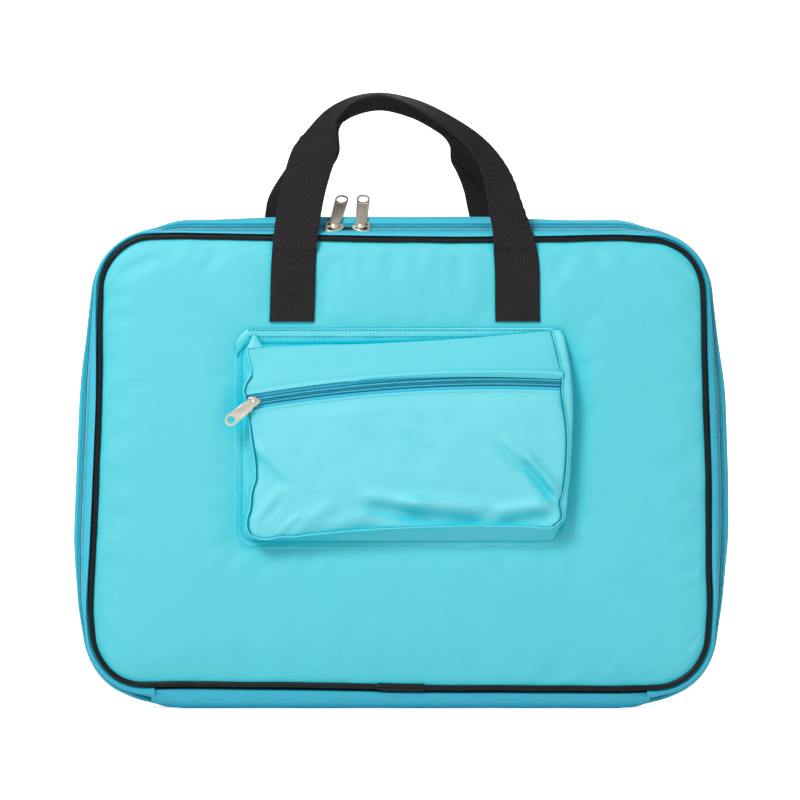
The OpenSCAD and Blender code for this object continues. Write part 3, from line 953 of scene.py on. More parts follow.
def back_strip_line(distance, from_front=False):
    """Section of the back strip from its fold beside the zip round the bulge to the back piping."""
    middle, across, normal = zip_face(distance)
    thick = bpy.context.scene.case_sizes.strip_thickness
    edge = zip_edge() + 0.0003 * ripple(distance, 0, 2, 0.02)
    fold = middle + across * edge
    (x, z), _ = rim(distance)
    rise = 0.0036 * float(ease((0.21 - abs(x + 0.02)) / 0.12)) if z > HALF_H - 0.001 else 0.0
    peak = max(BULGE * bulge_share(distance), fold[0] + 0.0022) + rise
    wave = cloth_wave(distance, 0.0)
    low_wave = cloth_wave(distance, 0.02)
    upper = [(peak * 0.45 + fold[0] * 0.55, fold[1] * 0.75 - 0.0026), (peak + wave * 0.3, -0.0095),
             (peak + wave * 0.3, 0.004), (peak + low_wave * 0.3, BACK_EDGE_Y - 0.0095),
             (peak * 0.74 + low_wave, BACK_EDGE_Y - 0.003), (0.0012, BACK_EDGE_Y - 0.0003),
             (-0.0022, BACK_EDGE_Y - 0.0002)]
    if from_front:
        root = np.array(STRIP_ROOT) + (0.0020, 0.0022)
        points = [root, middle + normal * (thick + wave)] + upper
    else:
        points = [fold + normal * 0.0001, fold - across * 0.0004 + normal * thick * 0.5,
                  fold + normal * thick,
                  fold + across * 0.0016 + normal * (thick + 0.0003)] + upper
    return along_line(rounded_line(points, 2), 30)


def strip(name, line_at, start, end, thickness):
    """A strip of cloth along the rim with the given section line."""
    rows = []
    for distance in rim_steps(start, end):
        section = thick_section(line_at(distance), thickness)
        half = len(section) / 2
        rows.append([off_floor(in_rim(distance, u, y), 0.0002 if k < half else 0.0014)
                     for k, (u, y) in enumerate(section)])
    piece = loft(name, rows, ring=True)
    closed(piece, 50)
    return piece


def rim_stitches(name, line_at, start, end, share, lift=0.0002):
    """A row of stitches along a strip, at that share of the way across its section."""
    points, normals = [], []
    for distance in rim_steps(start, end, 0.006):
        line = np.asarray(line_at(distance))
        run = np.concatenate([[0], np.cumsum(np.linalg.norm(np.diff(line, axis=0), axis=1))])
        at = share * run[-1]
        u, y = (np.interp(at, run, line[:, k]) for k in range(2))
        before = [np.interp(at - 0.0005, run, line[:, k]) for k in range(2)]
        after = [np.interp(at + 0.0005, run, line[:, k]) for k in range(2)]
        du, dy = after[0] - before[0], after[1] - before[1]
        size = math.hypot(du, dy)
        nu, ny = dy / size, -du / size
        out = rim(distance)[1]
        points.append(in_rim(distance, u + nu * lift, y + ny * lift))
        normals.append((out[0] * nu, ny, out[1] * nu))
    return stitches(name, points, normals)


def zip_tape(front):
    """One half of the main zip's tape."""
    name, side, body = half_of(front)
    edge = 0.0007
    wide = bpy.context.scene.zip_sizes.coil_width / 2 + 0.0046
    rows = []
    start, end = zip_span()
    for distance in rim_steps(start, end, 0.006):
        corners = [(edge, -0.0011), (edge, -0.0003), (edge + 0.0014, -0.0001), (wide, -0.0002),
                   (wide, -0.0011)]
        rows.append([on_zip(distance, side * s, n) for s, n in corners])
    piece = loft(f"{name}_zip_tape_cloth", rows, ring=True)
    outwards(piece)
    finish(piece, body, "zip_tape", [f"{name}_zip_tape"])


def tooth_template(width, height, thick):
    """One turn of a coil seen from outside: a rounded bar with a wider nose."""
    deselect()
    bpy.ops.mesh.primitive_cylinder_add(vertices=8, radius=0.5, depth=1)
    bar = bpy.context.object
    select_only(bar)
    bpy.ops.object.mode_set(mode="EDIT")
    bpy.ops.mesh.select_all(action="SELECT")
    bpy.ops.mesh.bisect(plane_co=(0, 0, 0.22), plane_no=(0, 0, 1))
    bpy.ops.object.mode_set(mode="OBJECT")
    for vertex in bar.data.vertices:
        x, y, z = vertex.co
        swell = 1.35 if z > 0.4 else (1.0 if z > -0.4 else 0.8)
        drop = 0.85 if z < -0.4 else 1.0
        vertex.co = (x * thick * swell, -(z - 0.5) * width, (y + 0.5) * height * drop)
    mesh = bar.data
    bpy.data.objects.remove(bar)
    return mesh


def top_distance(x):
    """Distance along the rim of the place at x on the straight top."""
    radius, across, up, _ = rim_sizes()
    return across + math.pi * radius + 2 * up + (across - x)


def open_place():
    """Where the zip stands open between the noses of its two sliders, as distances along the rim."""
    homes = [JOINTS[f"{name}_pull_swing"]["pos_m"][0] for name in ("left", "right")]
    return top_distance(homes[1] - 0.0085), top_distance(homes[0] + 0.0085)


def zip_opening():
    """The lining seen between the two sliders."""
    low, high = open_place()
    rows = [[on_zip(d, s, 0.0004 - 0.0006 * math.cos(s / 0.0032 * 1.4))
             for s in np.linspace(-0.0034, 0.0034, 7)]
            for d in np.linspace(low, high, 6)]
    piece = loft("zip_opening_lining", rows)
    apply_modifier(piece, "SOLIDIFY", thickness=0.0005, offset=0.0)
    outwards(piece)
    finish(piece, "base", "lining")


def zip_coil(front):
    """One half of the main coil, tooth by tooth."""
    name, side, body = half_of(front)
    sizes = bpy.context.scene.zip_sizes
    start, end = zip_span()
    count = int((end - start) / sizes.tooth_pitch)
    template = tooth_template(sizes.coil_width / 2 + 0.0003, sizes.coil_height, 0.00115)
    shift = 0.0 if front else 0.5
    places = []
    low, high = open_place()
    for k in range(count):
        distance = start + (k + shift + 0.25) * sizes.tooth_pitch
        if low < distance < high:
            continue
        along, across, up = zip_axes(distance)
        origin = on_zip(distance, -side * 0.0003, -0.0001)
        places.append(place_of(origin, along * side, across * side, up))
    piece = stamp(f"{name}_zip_coil_teeth", template, places)
    finish(piece, body, "zip_coil", [f"{name}_zip_coil"])


def coil_seams(front):
    """The sewing line that holds the coil to its tape."""
    name, side, body = half_of(front)
    start, end = zip_span()
    points, normals = [], []
    for distance in rim_steps(start, end, 0.006):
        points.append(on_zip(distance, side * 0.0037, 0.0021))
        normals.append(zip_axes(distance)[2])
    piece = stitches(f"{name}_coil_thread", points, normals, 0.0021, 0.0022, 0.00035)
    finish(piece, body, "zip_tape", looks="cloth_thread")


def painted_shade_line(name, centres, radius=0.0005):
    """A thin line through the centres, as a tube, that draws painted shade along coils, seams and folds."""
    centres = np.asarray(centres, float)
    along = np.gradient(centres, axis=0)
    along /= np.linalg.norm(along, axis=1)[:, None]
    side = np.cross(along, (0, 1, 0))
    side /= np.linalg.norm(side, axis=1)[:, None]
    up = np.cross(side, along)
    turns = np.linspace(0, 2 * math.pi, 7)[:-1]
    rows = [[c + radius * (s * math.cos(a) + u * math.sin(a)) for a in turns] for c, s,
            u in zip(centres, side, up)]
    piece = loft(name, rows, ring=True)
    closed(piece, 60)
    return piece


def coil_shade_line(front):
    """A dark line between the main coil and its tape: painted shade along the coil's edge."""
    name, side, body = half_of(front)
    start, end = zip_span()
    reach = bpy.context.scene.zip_sizes.coil_width / 2 + 0.0005
    lines = [painted_shade_line("edge", [on_zip(d, side * reach, 0.0002) for d in rim_steps(start, end, 0.005)])]
    if not front:
        # painted shade in the groove where the two halves mesh, left out where the zip stands open
        low, high = open_place()
        high_n = bpy.context.scene.zip_sizes.coil_height
        lines += [painted_shade_line("groove", [on_zip(d, 0.0002, high_n) for d in rim_steps(a, b, 0.005)], 0.0004)
                  for a, b in ((start, low), (high, end))]
    line = joined(f"{name}_coil_edge", lines, Matrix.Identity(4))
    finish(line, body, "zip_tape", looks="seam_thread")


def zip_end_tab(side):
    """The cloth tab that covers an end of the main zip."""
    name = "right" if side > 0 else "left"
    low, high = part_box(f"{name}_zip_end")
    total = rim_sizes()[3]
    wide = zip_edge() + 0.001
    rows = []
    for x in np.linspace(low[0], high[0], 15):
        end = min(x - low[0], high[0] - x)
        lift = 0.0026 + 0.0009 * float(ease(end / 0.003)) + 0.0002 * ripple(x, 1, side, 0.006)
        line = [(s, lift - 0.0011 * float(ease((abs(s) - 0.004) / (wide - 0.004))))
                for s in np.linspace(-wide, wide, 9)]
        rows.append([on_zip(x % total, s, n) for s, n in line])
    piece = loft(f"{name}_zip_end_tab", rows)
    made_thick(piece, 0.0009, 0.0, 50)
    finish(piece, "base", "case_cloth", [f"{name}_zip_end"], looks="gusset_cloth")


class CASE_OT_gusset(bpy.types.Operator):
    """Add the gusset strips and the main zip between them"""

    bl_idname = "case.gusset"
    bl_label = "Gusset and zip"

    def execute(self, context):
        thick = context.scene.case_sizes.strip_thickness
        start, end = zip_span()
        total = rim_sizes()[3]
        front = strip("front_gusset_cloth", front_strip_line, start, end, -thick)
        finish(front, "lid", "case_cloth", ["front_gusset"], looks="gusset_cloth")
        back = strip("back_gusset_cloth", back_strip_line, start, end, -thick)
        finish(back, "base", "case_cloth", ["back_gusset"], looks="gusset_cloth")

        def under_line(distance):
            return back_strip_line(distance, from_front=True)

        under = strip("bottom_gusset_cloth", under_line, end - total, start, -thick)
        finish(under, "base", "case_cloth", ["bottom_gusset"], looks="gusset_cloth")
        for name, line, body, share, low, high in (
                ("front_gusset_thread", front_strip_line, "lid", 0.60, start, end),
                ("back_gusset_thread", back_strip_line, "base", 0.105, start, end),
                ("back_seam_thread", back_strip_line, "base", 0.885, start, end),
                ("bottom_seam_thread", under_line, "base", 0.895, end - total, start)):
            finish(rim_stitches(name, line, low, high, share), body, "case_cloth", looks="cloth_thread")
        for is_front in (True, False):
            zip_tape(is_front)
            zip_coil(is_front)
            coil_seams(is_front)
            coil_shade_line(is_front)
        zip_opening()
        for side in (-1, 1):
            zip_end_tab(side)
        return {"FINISHED"}


# ---------------------------------------------------------------------------
# Sliders and pulls


def outline_plate(name, outlines, thickness, bevel):
    """A flat plate from closed outlines, the first the edge and the rest holes, as a mesh lying on z = 0."""
    curve = bpy.data.curves.new(name, "CURVE")
    curve.dimensions = "2D"
    curve.fill_mode = "BOTH"
    curve.extrude = thickness / 2 - bevel
    curve.bevel_depth = bevel
    curve.bevel_resolution = 2
    for outline in outlines:
        spline = curve.splines.new("POLY")
        spline.points.add(len(outline) - 1)
        for point, (x, y) in zip(spline.points, outline):
            point.co = (x, y, 0, 1)
        spline.use_cyclic_u = True
    plate = linked(name, curve)
    select_only(plate)
    bpy.ops.object.convert(target="MESH")
    plate = bpy.context.object
    plate.data.transform(Matrix.Translation((0, 0, thickness / 2)))
    select_only(plate)
    bpy.ops.object.mode_set(mode="EDIT")
    bpy.ops.mesh.select_all(action="SELECT")
    bpy.ops.mesh.remove_doubles(threshold=1e-6)
    bpy.ops.mesh.normals_make_consistent(inside=False)
    bpy.ops.object.mode_set(mode="OBJECT")
    return plate


def circle(radius, x=0.0, y=0.0, count=32):
    """Points of a circle."""
    return [(x + radius * math.cos(a), y + radius * math.sin(a))
            for a in np.linspace(0, 2 * math.pi, count, endpoint=False)]


def heart(length, width, shrink=1.0, rounds=3):
    """Outline of a slider's wing: two lobes at the tail, drawn to a rounded nose at +x."""
    half = ((0.50, 0.04), (0.40, 0.19), (0.20, 0.36), (-0.02, 0.48), (-0.27, 0.50), (-0.45, 0.38),
            (-0.50, 0.20), (-0.44, 0.05))
    points = np.array(half + tuple((x, -y) for x, y in half[::-1])) * (length * shrink, width * shrink)
    for _ in range(rounds):
        after = np.roll(points, -1, axis=0)
        points = np.stack([points * 0.75 + after * 0.25, points * 0.25 + after * 0.75], axis=1).reshape(-1, 2)
    return [tuple(p) for p in points]


def joined(name, objects, place):
    """Several meshes as one piece, put in its place."""
    deselect()
    for one in objects:
        one.select_set(True)
    bpy.context.view_layer.objects.active = objects[0]
    bpy.ops.object.join()
    piece = bpy.context.object
    piece.name = name
    piece.data.name = name
    piece.data.transform(place)
    smooth(piece, 35)
    return piece


def lifted(plate, z):
    """The plate raised by z."""
    plate.data.transform(Matrix.Translation((0, 0, z)))
    return plate


def turned_part(name, profile, z=0.0, steps=24):
    """A turned part from its profile of (radius, height), spun round the z axis."""
    mesh = bpy.data.meshes.new(name)
    mesh.from_pydata([(r, 0, h) for r, h in profile], [(k, k + 1) for k in range(len(profile) - 1)], [])
    piece = linked(name, mesh)
    select_only(piece)
    bpy.ops.object.mode_set(mode="EDIT")
    bpy.ops.mesh.select_all(action="SELECT")
    bpy.ops.mesh.spin(steps=steps, angle=2 * math.pi, center=(0, 0, 0), axis=(0, 0, 1))
    bpy.ops.mesh.select_all(action="SELECT")
    bpy.ops.mesh.remove_doubles(threshold=1e-6)
    bpy.ops.mesh.normals_make_consistent(inside=False)
    bpy.ops.object.mode_set(mode="OBJECT")
    piece.data.transform(Matrix.Translation((0, 0, z)))
    return piece


def slider(name, length, width, coil, tape, nose, place):
    """A slider: two wings, side lips, a raised rim, a post, a domed cap, and a dark plate of painted shade in
    the rim.
    """
    top, low, wing = coil + 0.0003, -tape - 0.0005, 0.0012
    outline = [(nose * x, y) for x, y in heart(length, width)]
    inner = [(nose * (x - 0.0003), y) for x, y in heart(length, width, 0.76)]
    parts = [lifted(outline_plate("wing", [outline], wing, 0.0004), top),
             lifted(outline_plate("rim", [outline, inner], 0.0011, 0.00035), top + wing - 0.0003),
             lifted(outline_plate("wing", [outline], 0.0012, 0.0004), low - 0.0012)]
    for side in (-1, 1):
        y = side * (width / 2 - 0.0009)
        lip = [(x, y + dy) for x, dy in ((-length * 0.34, -0.0004), (length * 0.10, -0.0004),
                                         (length * 0.10, 0.0004), (-length * 0.34, 0.0004))]
        parts.append(lifted(outline_plate("lip", [[(nose * a, b) for a, b in lip]], top + 0.0002, 0.0002),
                            0.0002))
    bar = [(nose * x, y) for x, y in ((length * 0.42, -0.0011), (length * 0.42, 0.0011),
                                      (-length * 0.40, 0.0013),
                                      (-length * 0.40, -0.0013))]
    parts.append(lifted(outline_plate("bar", [bar], 0.0013, 0.0003), top + wing - 0.0002))
    post = 0.19 * width * 0.75
    high = top + wing + 0.0031
    parts.append(turned_part("post", [(0, top), (post, top), (post, high), (0, high)]))
    cap = post * 1.55
    dome = [(0, high - 0.0001), (cap * 0.96, high - 0.0001), (cap, high + 0.0002),
            (cap * 0.92, high + 0.0007),
            (cap * 0.62, high + 0.0012), (0, high + 0.00145)]
    parts.append(turned_part("cap", dome))
    # painted shade: a dark plate inside the rim, standing for the shade and dark reflection in the hollow
    recess = outline_plate(f"{name}_recess",
                           [[(nose * (x - 0.0003), y) for x, y in heart(length, width, 0.72)]],
                           0.0005, 0.0001)
    lifted(recess, top + wing - 0.0001)
    recess.data.transform(place)
    return joined(name, parts, place), recess


def pull(name, length, width, hole, eye, place, lean):
    """A pull: an eye round the slider's post, a waisted shank with raised edges and a finger hole."""
    thick = 0.0015
    end = length - width / 2
    outer, waist = eye + 0.0019, width * 0.44
    edge = [(outer * math.cos(a), outer * math.sin(a))
            for a in np.linspace(math.pi * 0.82, math.pi * 2.18, 22)]
    rise = [(waist, length * 0.22), (waist * 1.04, length * 0.45), (width / 2 * 0.98, end - width * 0.25)]
    arc = [(width / 2 * math.cos(a), end + width / 2 * math.sin(a)) for a in np.linspace(0, math.pi, 20)]
    outline = edge + rise + arc + [(-x, y) for x, y in rise[::-1]]
    frame_in = 0.0013
    panel = [(waist - frame_in, length * 0.25), (waist * 1.04 - frame_in, length * 0.45),
             (width / 2 - frame_in * 1.1, end - width * 0.52)]
    recess = panel + [(-x, y) for x, y in panel[::-1]]
    parts = [outline_plate("plate", [outline, circle(hole, 0, end), circle(eye)], thick, 0.0003),
             lifted(outline_plate("edge", [outline, circle(hole, 0, end), circle(eye), recess], 0.0006,
                                  0.0002),
                    thick - 0.0001)]
    for part in parts:
        part.data.transform(Matrix.Rotation(-lean, 4, "Z"))
    return joined(name, parts, place)


def main_zip_place(x):
    """Place of the main zip's frame on the straight top at x."""
    distance = top_distance(x)
    origin = on_zip(distance, 0, 0)
    _, side, normal = zip_axes(distance)
    right = np.cross(side, normal)
    return Matrix(place_of(origin, right, side, normal).tolist())


def pocket_arc():
    """Centre (x, z), radius and home angle of the pocket zip's curve."""
    run = JOINTS["pocket_slider_run"]
    home = JOINTS["pocket_pull_swing"]["pos_m"]
    centre = run["pos_m"]
    dx, dz = home[0] - centre[0], home[2] - centre[2]
    return centre[0], centre[2], math.hypot(dx, dz), math.atan2(dx, dz), centre[1]


def pocket_zip_place(angle):
    """Place of the pocket zip's frame at that angle from straight up, positive towards +X."""
    x, z, radius, _, y = pocket_arc()
    origin = (x + radius * math.sin(angle), y, z + radius * math.cos(angle))
    right = (math.cos(angle), 0, -math.sin(angle))
    up = (math.sin(angle), 0, math.cos(angle))
    return Matrix(place_of(origin, right, up, (0, -1, 0)).tolist())


class CASE_OT_sliders(bpy.types.Operator):
    """Add the sliders and their pulls"""

    bl_idname = "case.sliders"
    bl_label = "Sliders and pulls"

    def execute(self, context):
        coil = context.scene.zip_sizes.coil_height
        pull_z = coil + 0.0003 + 0.0018 + 0.0005
        for name, nose, lean in (("left", 1, math.radians(9.5)), ("right", -1, math.radians(2.5))):
            home = JOINTS[f"{name}_pull_swing"]["pos_m"][0]
            place = main_zip_place(home)
            body, recess = slider(f"{name}_slider_metal", 0.0195, 0.0168, coil, 0.0011, nose, place)
            finish(body, f"{name}_slider", "slider_metal", [f"{name}_slider"])
            finish(recess, f"{name}_slider", "slider_metal", looks="slider_recess")
            tab = pull(f"{name}_pull_metal", 0.0485, 0.0137, 0.0056, 0.0027,
                       place @ Matrix.Translation((0, 0, pull_z)), lean)
            finish(tab, f"{name}_pull", "slider_metal", [f"{name}_pull"])
        place = pocket_zip_place(pocket_arc()[3])
        body, recess = slider("pocket_slider_metal", 0.0130, 0.0104, 0.0016, 0.0008, 1, place)
        finish(body, "pocket_slider", "slider_metal", ["pocket_slider"])
        finish(recess, "pocket_slider", "slider_metal", looks="slider_recess")
        tab = pull("pocket_pull_metal", 0.0365, 0.0125, 0.0043, 0.0020,
                   place @ Matrix.Translation((0, 0, 0.0042)), math.radians(-119))
        finish(tab, "pocket_pull", "slider_metal", ["pocket_pull"])
        return {"FINISHED"}


# ---------------------------------------------------------------------------
# Webbing handles


# A handle's fold from its left sewn end to its right one: sideways and up from the seam and the width
# folded under, all in millimetres, and how far its face is turned outwards, in degrees.
HANDLE_ARCH = (
    (-142, -88, 0, 0), (-138, 0, 0, 0), (-126, 70, 0, 2), (-117, 96, 0, 5), (-100, 119, 7, 14),
    (-84, 135, 20, 40), (-62, 147, 23, 62), (-28, 153, 23, 76), (10, 147, 23, 62), (50, 129, 23, 44),
    (90, 100, 20, 30), (112, 70, 14, 18), (125, 36, 8, 10), (138, -6, 1, 1), (142, -88, 0, 0),
)
HANDLE_LEAN = 0.06  # how far the handle leans in over the case, as a share of its height
FOLDED_TURN = 0.6  # turn of the part folded under, as a share of the face's turn


def smooth_through(knots, values, at):
    """Values at the given places on a smooth curve through the knots."""
    slope = np.gradient(values, knots, axis=0)
    k = np.clip(np.searchsorted(knots, at) - 1, 0, len(knots) - 2)
    step = (knots[k + 1] - knots[k])[:, None]
    t = (at - knots[k])[:, None] / step
    return ((2 * t ** 3 - 3 * t ** 2 + 1) * values[k] + (t ** 3 - 2 * t ** 2 + t) * step * slope[k]
            + (3 * t ** 2 - 2 * t ** 3) * values[k + 1] + (t ** 3 - t ** 2) * step * slope[k + 1])


def webbing_across(fold, inner, folded, width, soft=0.0035, count=29):
    """Points across the webbing from its folded selvedge over the fold to its inner one, softly bent."""
    hidden, shown = np.linalg.norm(folded - fold), np.linalg.norm(inner - fold)
    scale = (hidden + shown) / width
    row = []
    for c in np.linspace(0, width, count):
        total = np.zeros(3)
        reach = min(soft, c, width - c)
        for offset in (-1, -0.5, 0, 0.5, 1):
            at = (c + offset * reach) * scale
            if at < hidden:
                total += fold + (folded - fold) * (1 - at / hidden)
            else:
                total += fold + (inner - fold) * ((at - hidden) / shown)
        row.append(total / 5)
    return row


def handle_lines(width):
    """The webbing's fold, its inner selvedge and its folded one, from end to end of the handle."""
    table = np.array(HANDLE_ARCH, float) * (0.001, 0.001, 0.001, math.pi / 180)
    knots = np.concatenate([[0], np.cumsum(np.linalg.norm(np.diff(table[:, :2], axis=0), axis=1))])
    path = smooth_through(knots, table, np.linspace(0, knots[-1], 300))
    heading = np.gradient(path[:, :2], axis=0)
    heading /= np.linalg.norm(heading, axis=1)[:, None]
    for (x, up, under, turn), (right, rise) in zip(path, heading):
        under, turn = max(under, 0.0), max(turn, 0.0)
        # the sewn ends stay level, and the rest crosses the fold squarely
        fall = right * float(ease((up + 0.010) / 0.060))
        fold = np.array((x, HANDLE_LEAN * max(up, 0.0), up))
        faces = []
        for reach, angle in ((width - under, -turn), (under, FOLDED_TURN * turn)):
            level = math.cos(angle)
            faces.append(fold + reach * np.array((level * rise, math.sin(angle), -level * fall)))
        yield fold, faces[0], faces[1]


def handle_rows(front):
    """Rows of points across the webbing along a handle."""
    sizes = bpy.context.scene.handle_sizes
    name, side, _ = half_of(front)
    low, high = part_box(f"{name}_handle_ends")
    middle_x = (low[0] + high[0]) / 2
    hinge = JOINTS[f"{name}_handle_swing"]["pos_m"]
    rows = []
    for fold, inner, folded in handle_lines(sizes.width):
        row = []
        for x, deep, z in webbing_across(fold, inner, folded, sizes.width):
            shift = middle_x
            if not front:
                # the two grips lie together, so the back one comes in over the front one
                if x < 0:
                    shift += 0.016 * float(ease((z - 0.040) / 0.060))
                else:
                    shift += (-0.001 - 0.004 * float(ease(z / 0.080))
                              + 0.021 * float(ease((z - 0.084) / 0.030)))
                z += 0.003 * float(ease((z - 0.08) / 0.04))
            sewn = float(ease((z + 0.017) / 0.008))
            flat = panel_depth(shift + x,
                               min(hinge[2] + z, PANEL_HIGH.z - 0.012)) + 0.0002 + sizes.thickness / 2
            wave = 0.0006 * ripple(x, side, z, 0.05)
            depth = flat * (1 - sewn) + (abs(hinge[1]) - deep + wave) * sewn
            row.append((shift + x, side * depth, hinge[2] + z))
        rows.append(row)
    return np.array(rows), hinge


def thickened(rows, thickness):
    """Closed sections round open ones: each row and a copy one thickness off along the surface's normal."""
    along, across = np.gradient(rows, axis=0), np.gradient(rows, axis=1)
    normal = np.cross(along, across)
    normal /= np.linalg.norm(normal, axis=2)[:, :, None]
    edge = np.ones(rows.shape[1])
    edge[[0, -1]] = 0.55
    half = normal * thickness / 2 * edge[None, :, None]
    return np.concatenate([rows - half, (rows + half)[:, ::-1]], axis=1)


def handle(front):
    """A webbing handle in one length, sewn to its panel at both ends and folded to a grip."""
    name = "front" if front else "back"
    rows, hinge = handle_rows(front)
    if not front:
        rows[:, :, 1] = np.minimum(rows[:, :, 1], abs(hinge[1]) + 0.0105)
    thickness = bpy.context.scene.handle_sizes.thickness
    piece = loft(f"{name}_handle_webbing", thickened(rows, thickness), ring=True)
    closed(piece, 50)
    finish(piece, None, "webbing", [f"{name}_handle", f"{name}_handle_ends"])
    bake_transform(piece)


def handle_stitching(front):
    """A crossed box of stitches at each sewn end, and two rows just below the seam."""
    name, side, body = half_of(front)
    sizes = bpy.context.scene.handle_sizes
    low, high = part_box(f"{name}_handle_ends")
    inset, box_h = 0.0035, 0.038
    half = sizes.width / 2 - inset
    points_of = []
    for middle in (low[0] + sizes.width / 2, high[0] - sizes.width / 2):
        left, right = middle - half, middle + half
        bottom, top = low[2] + inset, low[2] + inset + box_h
        points_of.append([(left, bottom), (right, bottom), (right, top), (left, top), (left, bottom),
                          (right, top)])
        points_of.append([(right, bottom), (left, top)])
        for row in (0.002, 0.0055):
            z = high[2] - 0.006 - row
            points_of.append([(left, z), (right, z)])
    pieces = []
    for line in points_of:
        dense = []
        for (ax, az), (bx, bz) in zip(line[:-1], line[1:]):
            for t in np.linspace(0, 1, 12, endpoint=False):
                dense.append((ax + (bx - ax) * t, az + (bz - az) * t))
        dense.append(line[-1])
        points = [(x, side * (panel_depth(x, z) + sizes.thickness + 0.0003), z) for x, z in dense]
        pieces.append(stitches("thread", points, [(0, side, 0)] * len(points), 0.0033, 0.0027, 0.0004))
    piece = joined(f"{name}_handle_thread", pieces, Matrix.Identity(4))
    finish(piece, body, "webbing", looks="black_thread")


class CASE_OT_handles(bpy.types.Operator):
    """Add the two webbing handles and their stitching"""

    bl_idname = "case.handles"
    bl_label = "Handles"

    def execute(self, context):
        for front in (True, False):
            handle(front)
            handle_stitching(front)
        return {"FINISHED"}


# ---------------------------------------------------------------------------
# Pocket


# Edges of the pocket's front, in metres from the pocket's middle and its lower hem
LEFT_EDGE = ((-0.1600, 0.0150), (-0.1640, 0.0230), (-0.1632, 0.0340), (-0.1600, 0.0410), (-0.1588, 0.0620),
             (-0.1525, 0.0755), (-0.1605, 0.1265), (-0.1675, 0.1455))
RIGHT_EDGE = ((0.160, 0.027), (0.1668, 0.0335), (0.1624, 0.0490), (0.1675, 0.0625), (0.1707, 0.0957),
              (0.1707, 0.1278), (0.1675, 0.158))
LOWER_EDGE = ((-0.1600, 0.0150), (-0.1460, 0.0095), (-0.1265, 0.0140), (-0.1190, 0.0125), (-0.0960, 0.0160),
              (-0.0420, 0.0205), (0.0165, 0.0235), (0.0750, 0.0250), (0.1300, 0.0240), (0.1535, 0.0215),
              (0.1600, 0.0270))
UPPER_LEFT = ((-0.1675, 0.1455), (-0.1672, 0.1640), (-0.1650, 0.1730), (-0.1575, 0.1830), (-0.1615, 0.1960),
              (-0.1637, 0.2095))
UPPER_RIGHT = ((0.1675, 0.158), (0.1662, 0.1755), (0.1615, 0.2020), (0.1548, 0.2285))
# Outline of the right wall, which swells out beyond the pocket's front
WALL_EDGE = ((0.1600, 0.0090), (0.1668, 0.0200), (0.1690, 0.0355), (0.1731, 0.0801), (0.1762, 0.1278),
             (0.1754, 0.1755), (0.1715, 0.2040), (0.1655, 0.2290))


def pocket_point(x, z):
    """World (x, z) of a place measured from the pocket's middle and its lower hem."""
    return (HEM_LOW.x + HEM_HIGH.x) / 2 + x, HEM_LOW.z + z


def hem_depth(x, z):
    """How far the face of the hem stands out from the middle of the case."""
    return panel_depth(x, z) + 0.0015


def zip_curve(offset, count, start=None, end=None):
    """World (x, z) points along the pocket's zip, offset up from its middle, from one end to the other."""
    x, z, radius, home, _ = pocket_arc()
    span = math.radians(JOINTS["pocket_slider_run"]["range_deg"][1])
    spare = 0.008 / radius
    start = home - spare if start is None else start
    end = home + span + spare if end is None else end
    reach = radius + offset
    return np.array([(x + reach * math.sin(a), z + reach * math.cos(a))
                     for a in np.linspace(start, end, count)])


def coons(left, right, lower, upper):
    """Grid of points between four edges: lower and upper run left to right, left and right run upwards."""
    columns, rows = len(lower), len(left)
    s = np.linspace(0, 1, columns)[:, None, None]
    t = np.linspace(0, 1, rows)[None, :, None]
    ruled = (1 - t) * lower[:, None] + t * upper[:, None]
    crossed = (1 - s) * left[None] + s * right[None]
    corners = ((1 - s) * (1 - t) * lower[0] + s * (1 - t) * lower[-1] + (1 - s) * t * upper[0]
               + s * t * upper[-1])
    return ruled + crossed - corners


def crease(x, z, start, end, width, depth):
    """Height of a fold along a line: a ridge on one side and a hollow on the other, fading at both ends."""
    ax, az = pocket_point(*start)
    bx, bz = pocket_point(*end)
    dx, dz = bx - ax, bz - az
    length = math.hypot(dx, dz)
    along = ((x - ax) * dx + (z - az) * dz) / length
    off = ((x - ax) * dz - (z - az) * dx) / length / width
    fade = float(ease(along / (0.3 * length))) * float(ease((length - along) / (0.3 * length)))
    return depth * fade * (math.exp(-(off + 0.5) ** 2 * 2) - 0.8 * math.exp(-(off - 0.8) ** 2 * 2))


# Folds of the pocket's front: start, end, width and height, measured as its edges are
POCKET_FOLDS = (
    ((-0.122, 0.010), (-0.062, 0.048), 0.0120, 0.0024),
    ((-0.134, 0.010), (-0.104, 0.038), 0.0050, 0.0012),
    ((-0.100, 0.016), (-0.020, 0.034), 0.0110, 0.0022),
    ((-0.052, 0.054), (0.034, 0.040), 0.0100, 0.0040),
    ((-0.014, 0.046), (0.102, 0.036), 0.0115, 0.0052),
    ((0.086, 0.034), (0.164, 0.044), 0.0100, 0.0044),
    ((0.118, 0.106), (0.168, 0.046), 0.0065, 0.0040),
    ((0.096, 0.120), (0.134, 0.080), 0.0075, 0.0020),
    ((-0.162, 0.114), (-0.114, 0.064), 0.0080, 0.0024),
    ((-0.156, 0.024), (-0.124, 0.062), 0.0070, 0.0012),
    ((0.000, 0.132), (0.028, 0.102), 0.0080, 0.0014),
)


def front_surface(x, z, share_in):
    """Depth of the pocket's front at (x, z); share_in is 0 at its edge and grows inwards, in metres."""
    full = -POCKET_Y + 0.0002
    edge_roll = 0.0028 * math.exp(-max(share_in, 0) / 0.005)
    sag = 0.0022 * float(ease(share_in / 0.05))
    folds = sum(crease(x, z, *fold) for fold in POCKET_FOLDS)
    rough = 0.0011 * ripple(x, 51, z, 0.055) + 0.0004 * ripple(x, 57, z, 0.018)
    return full - edge_roll + sag + (folds + rough) * float(ease(share_in / 0.004))


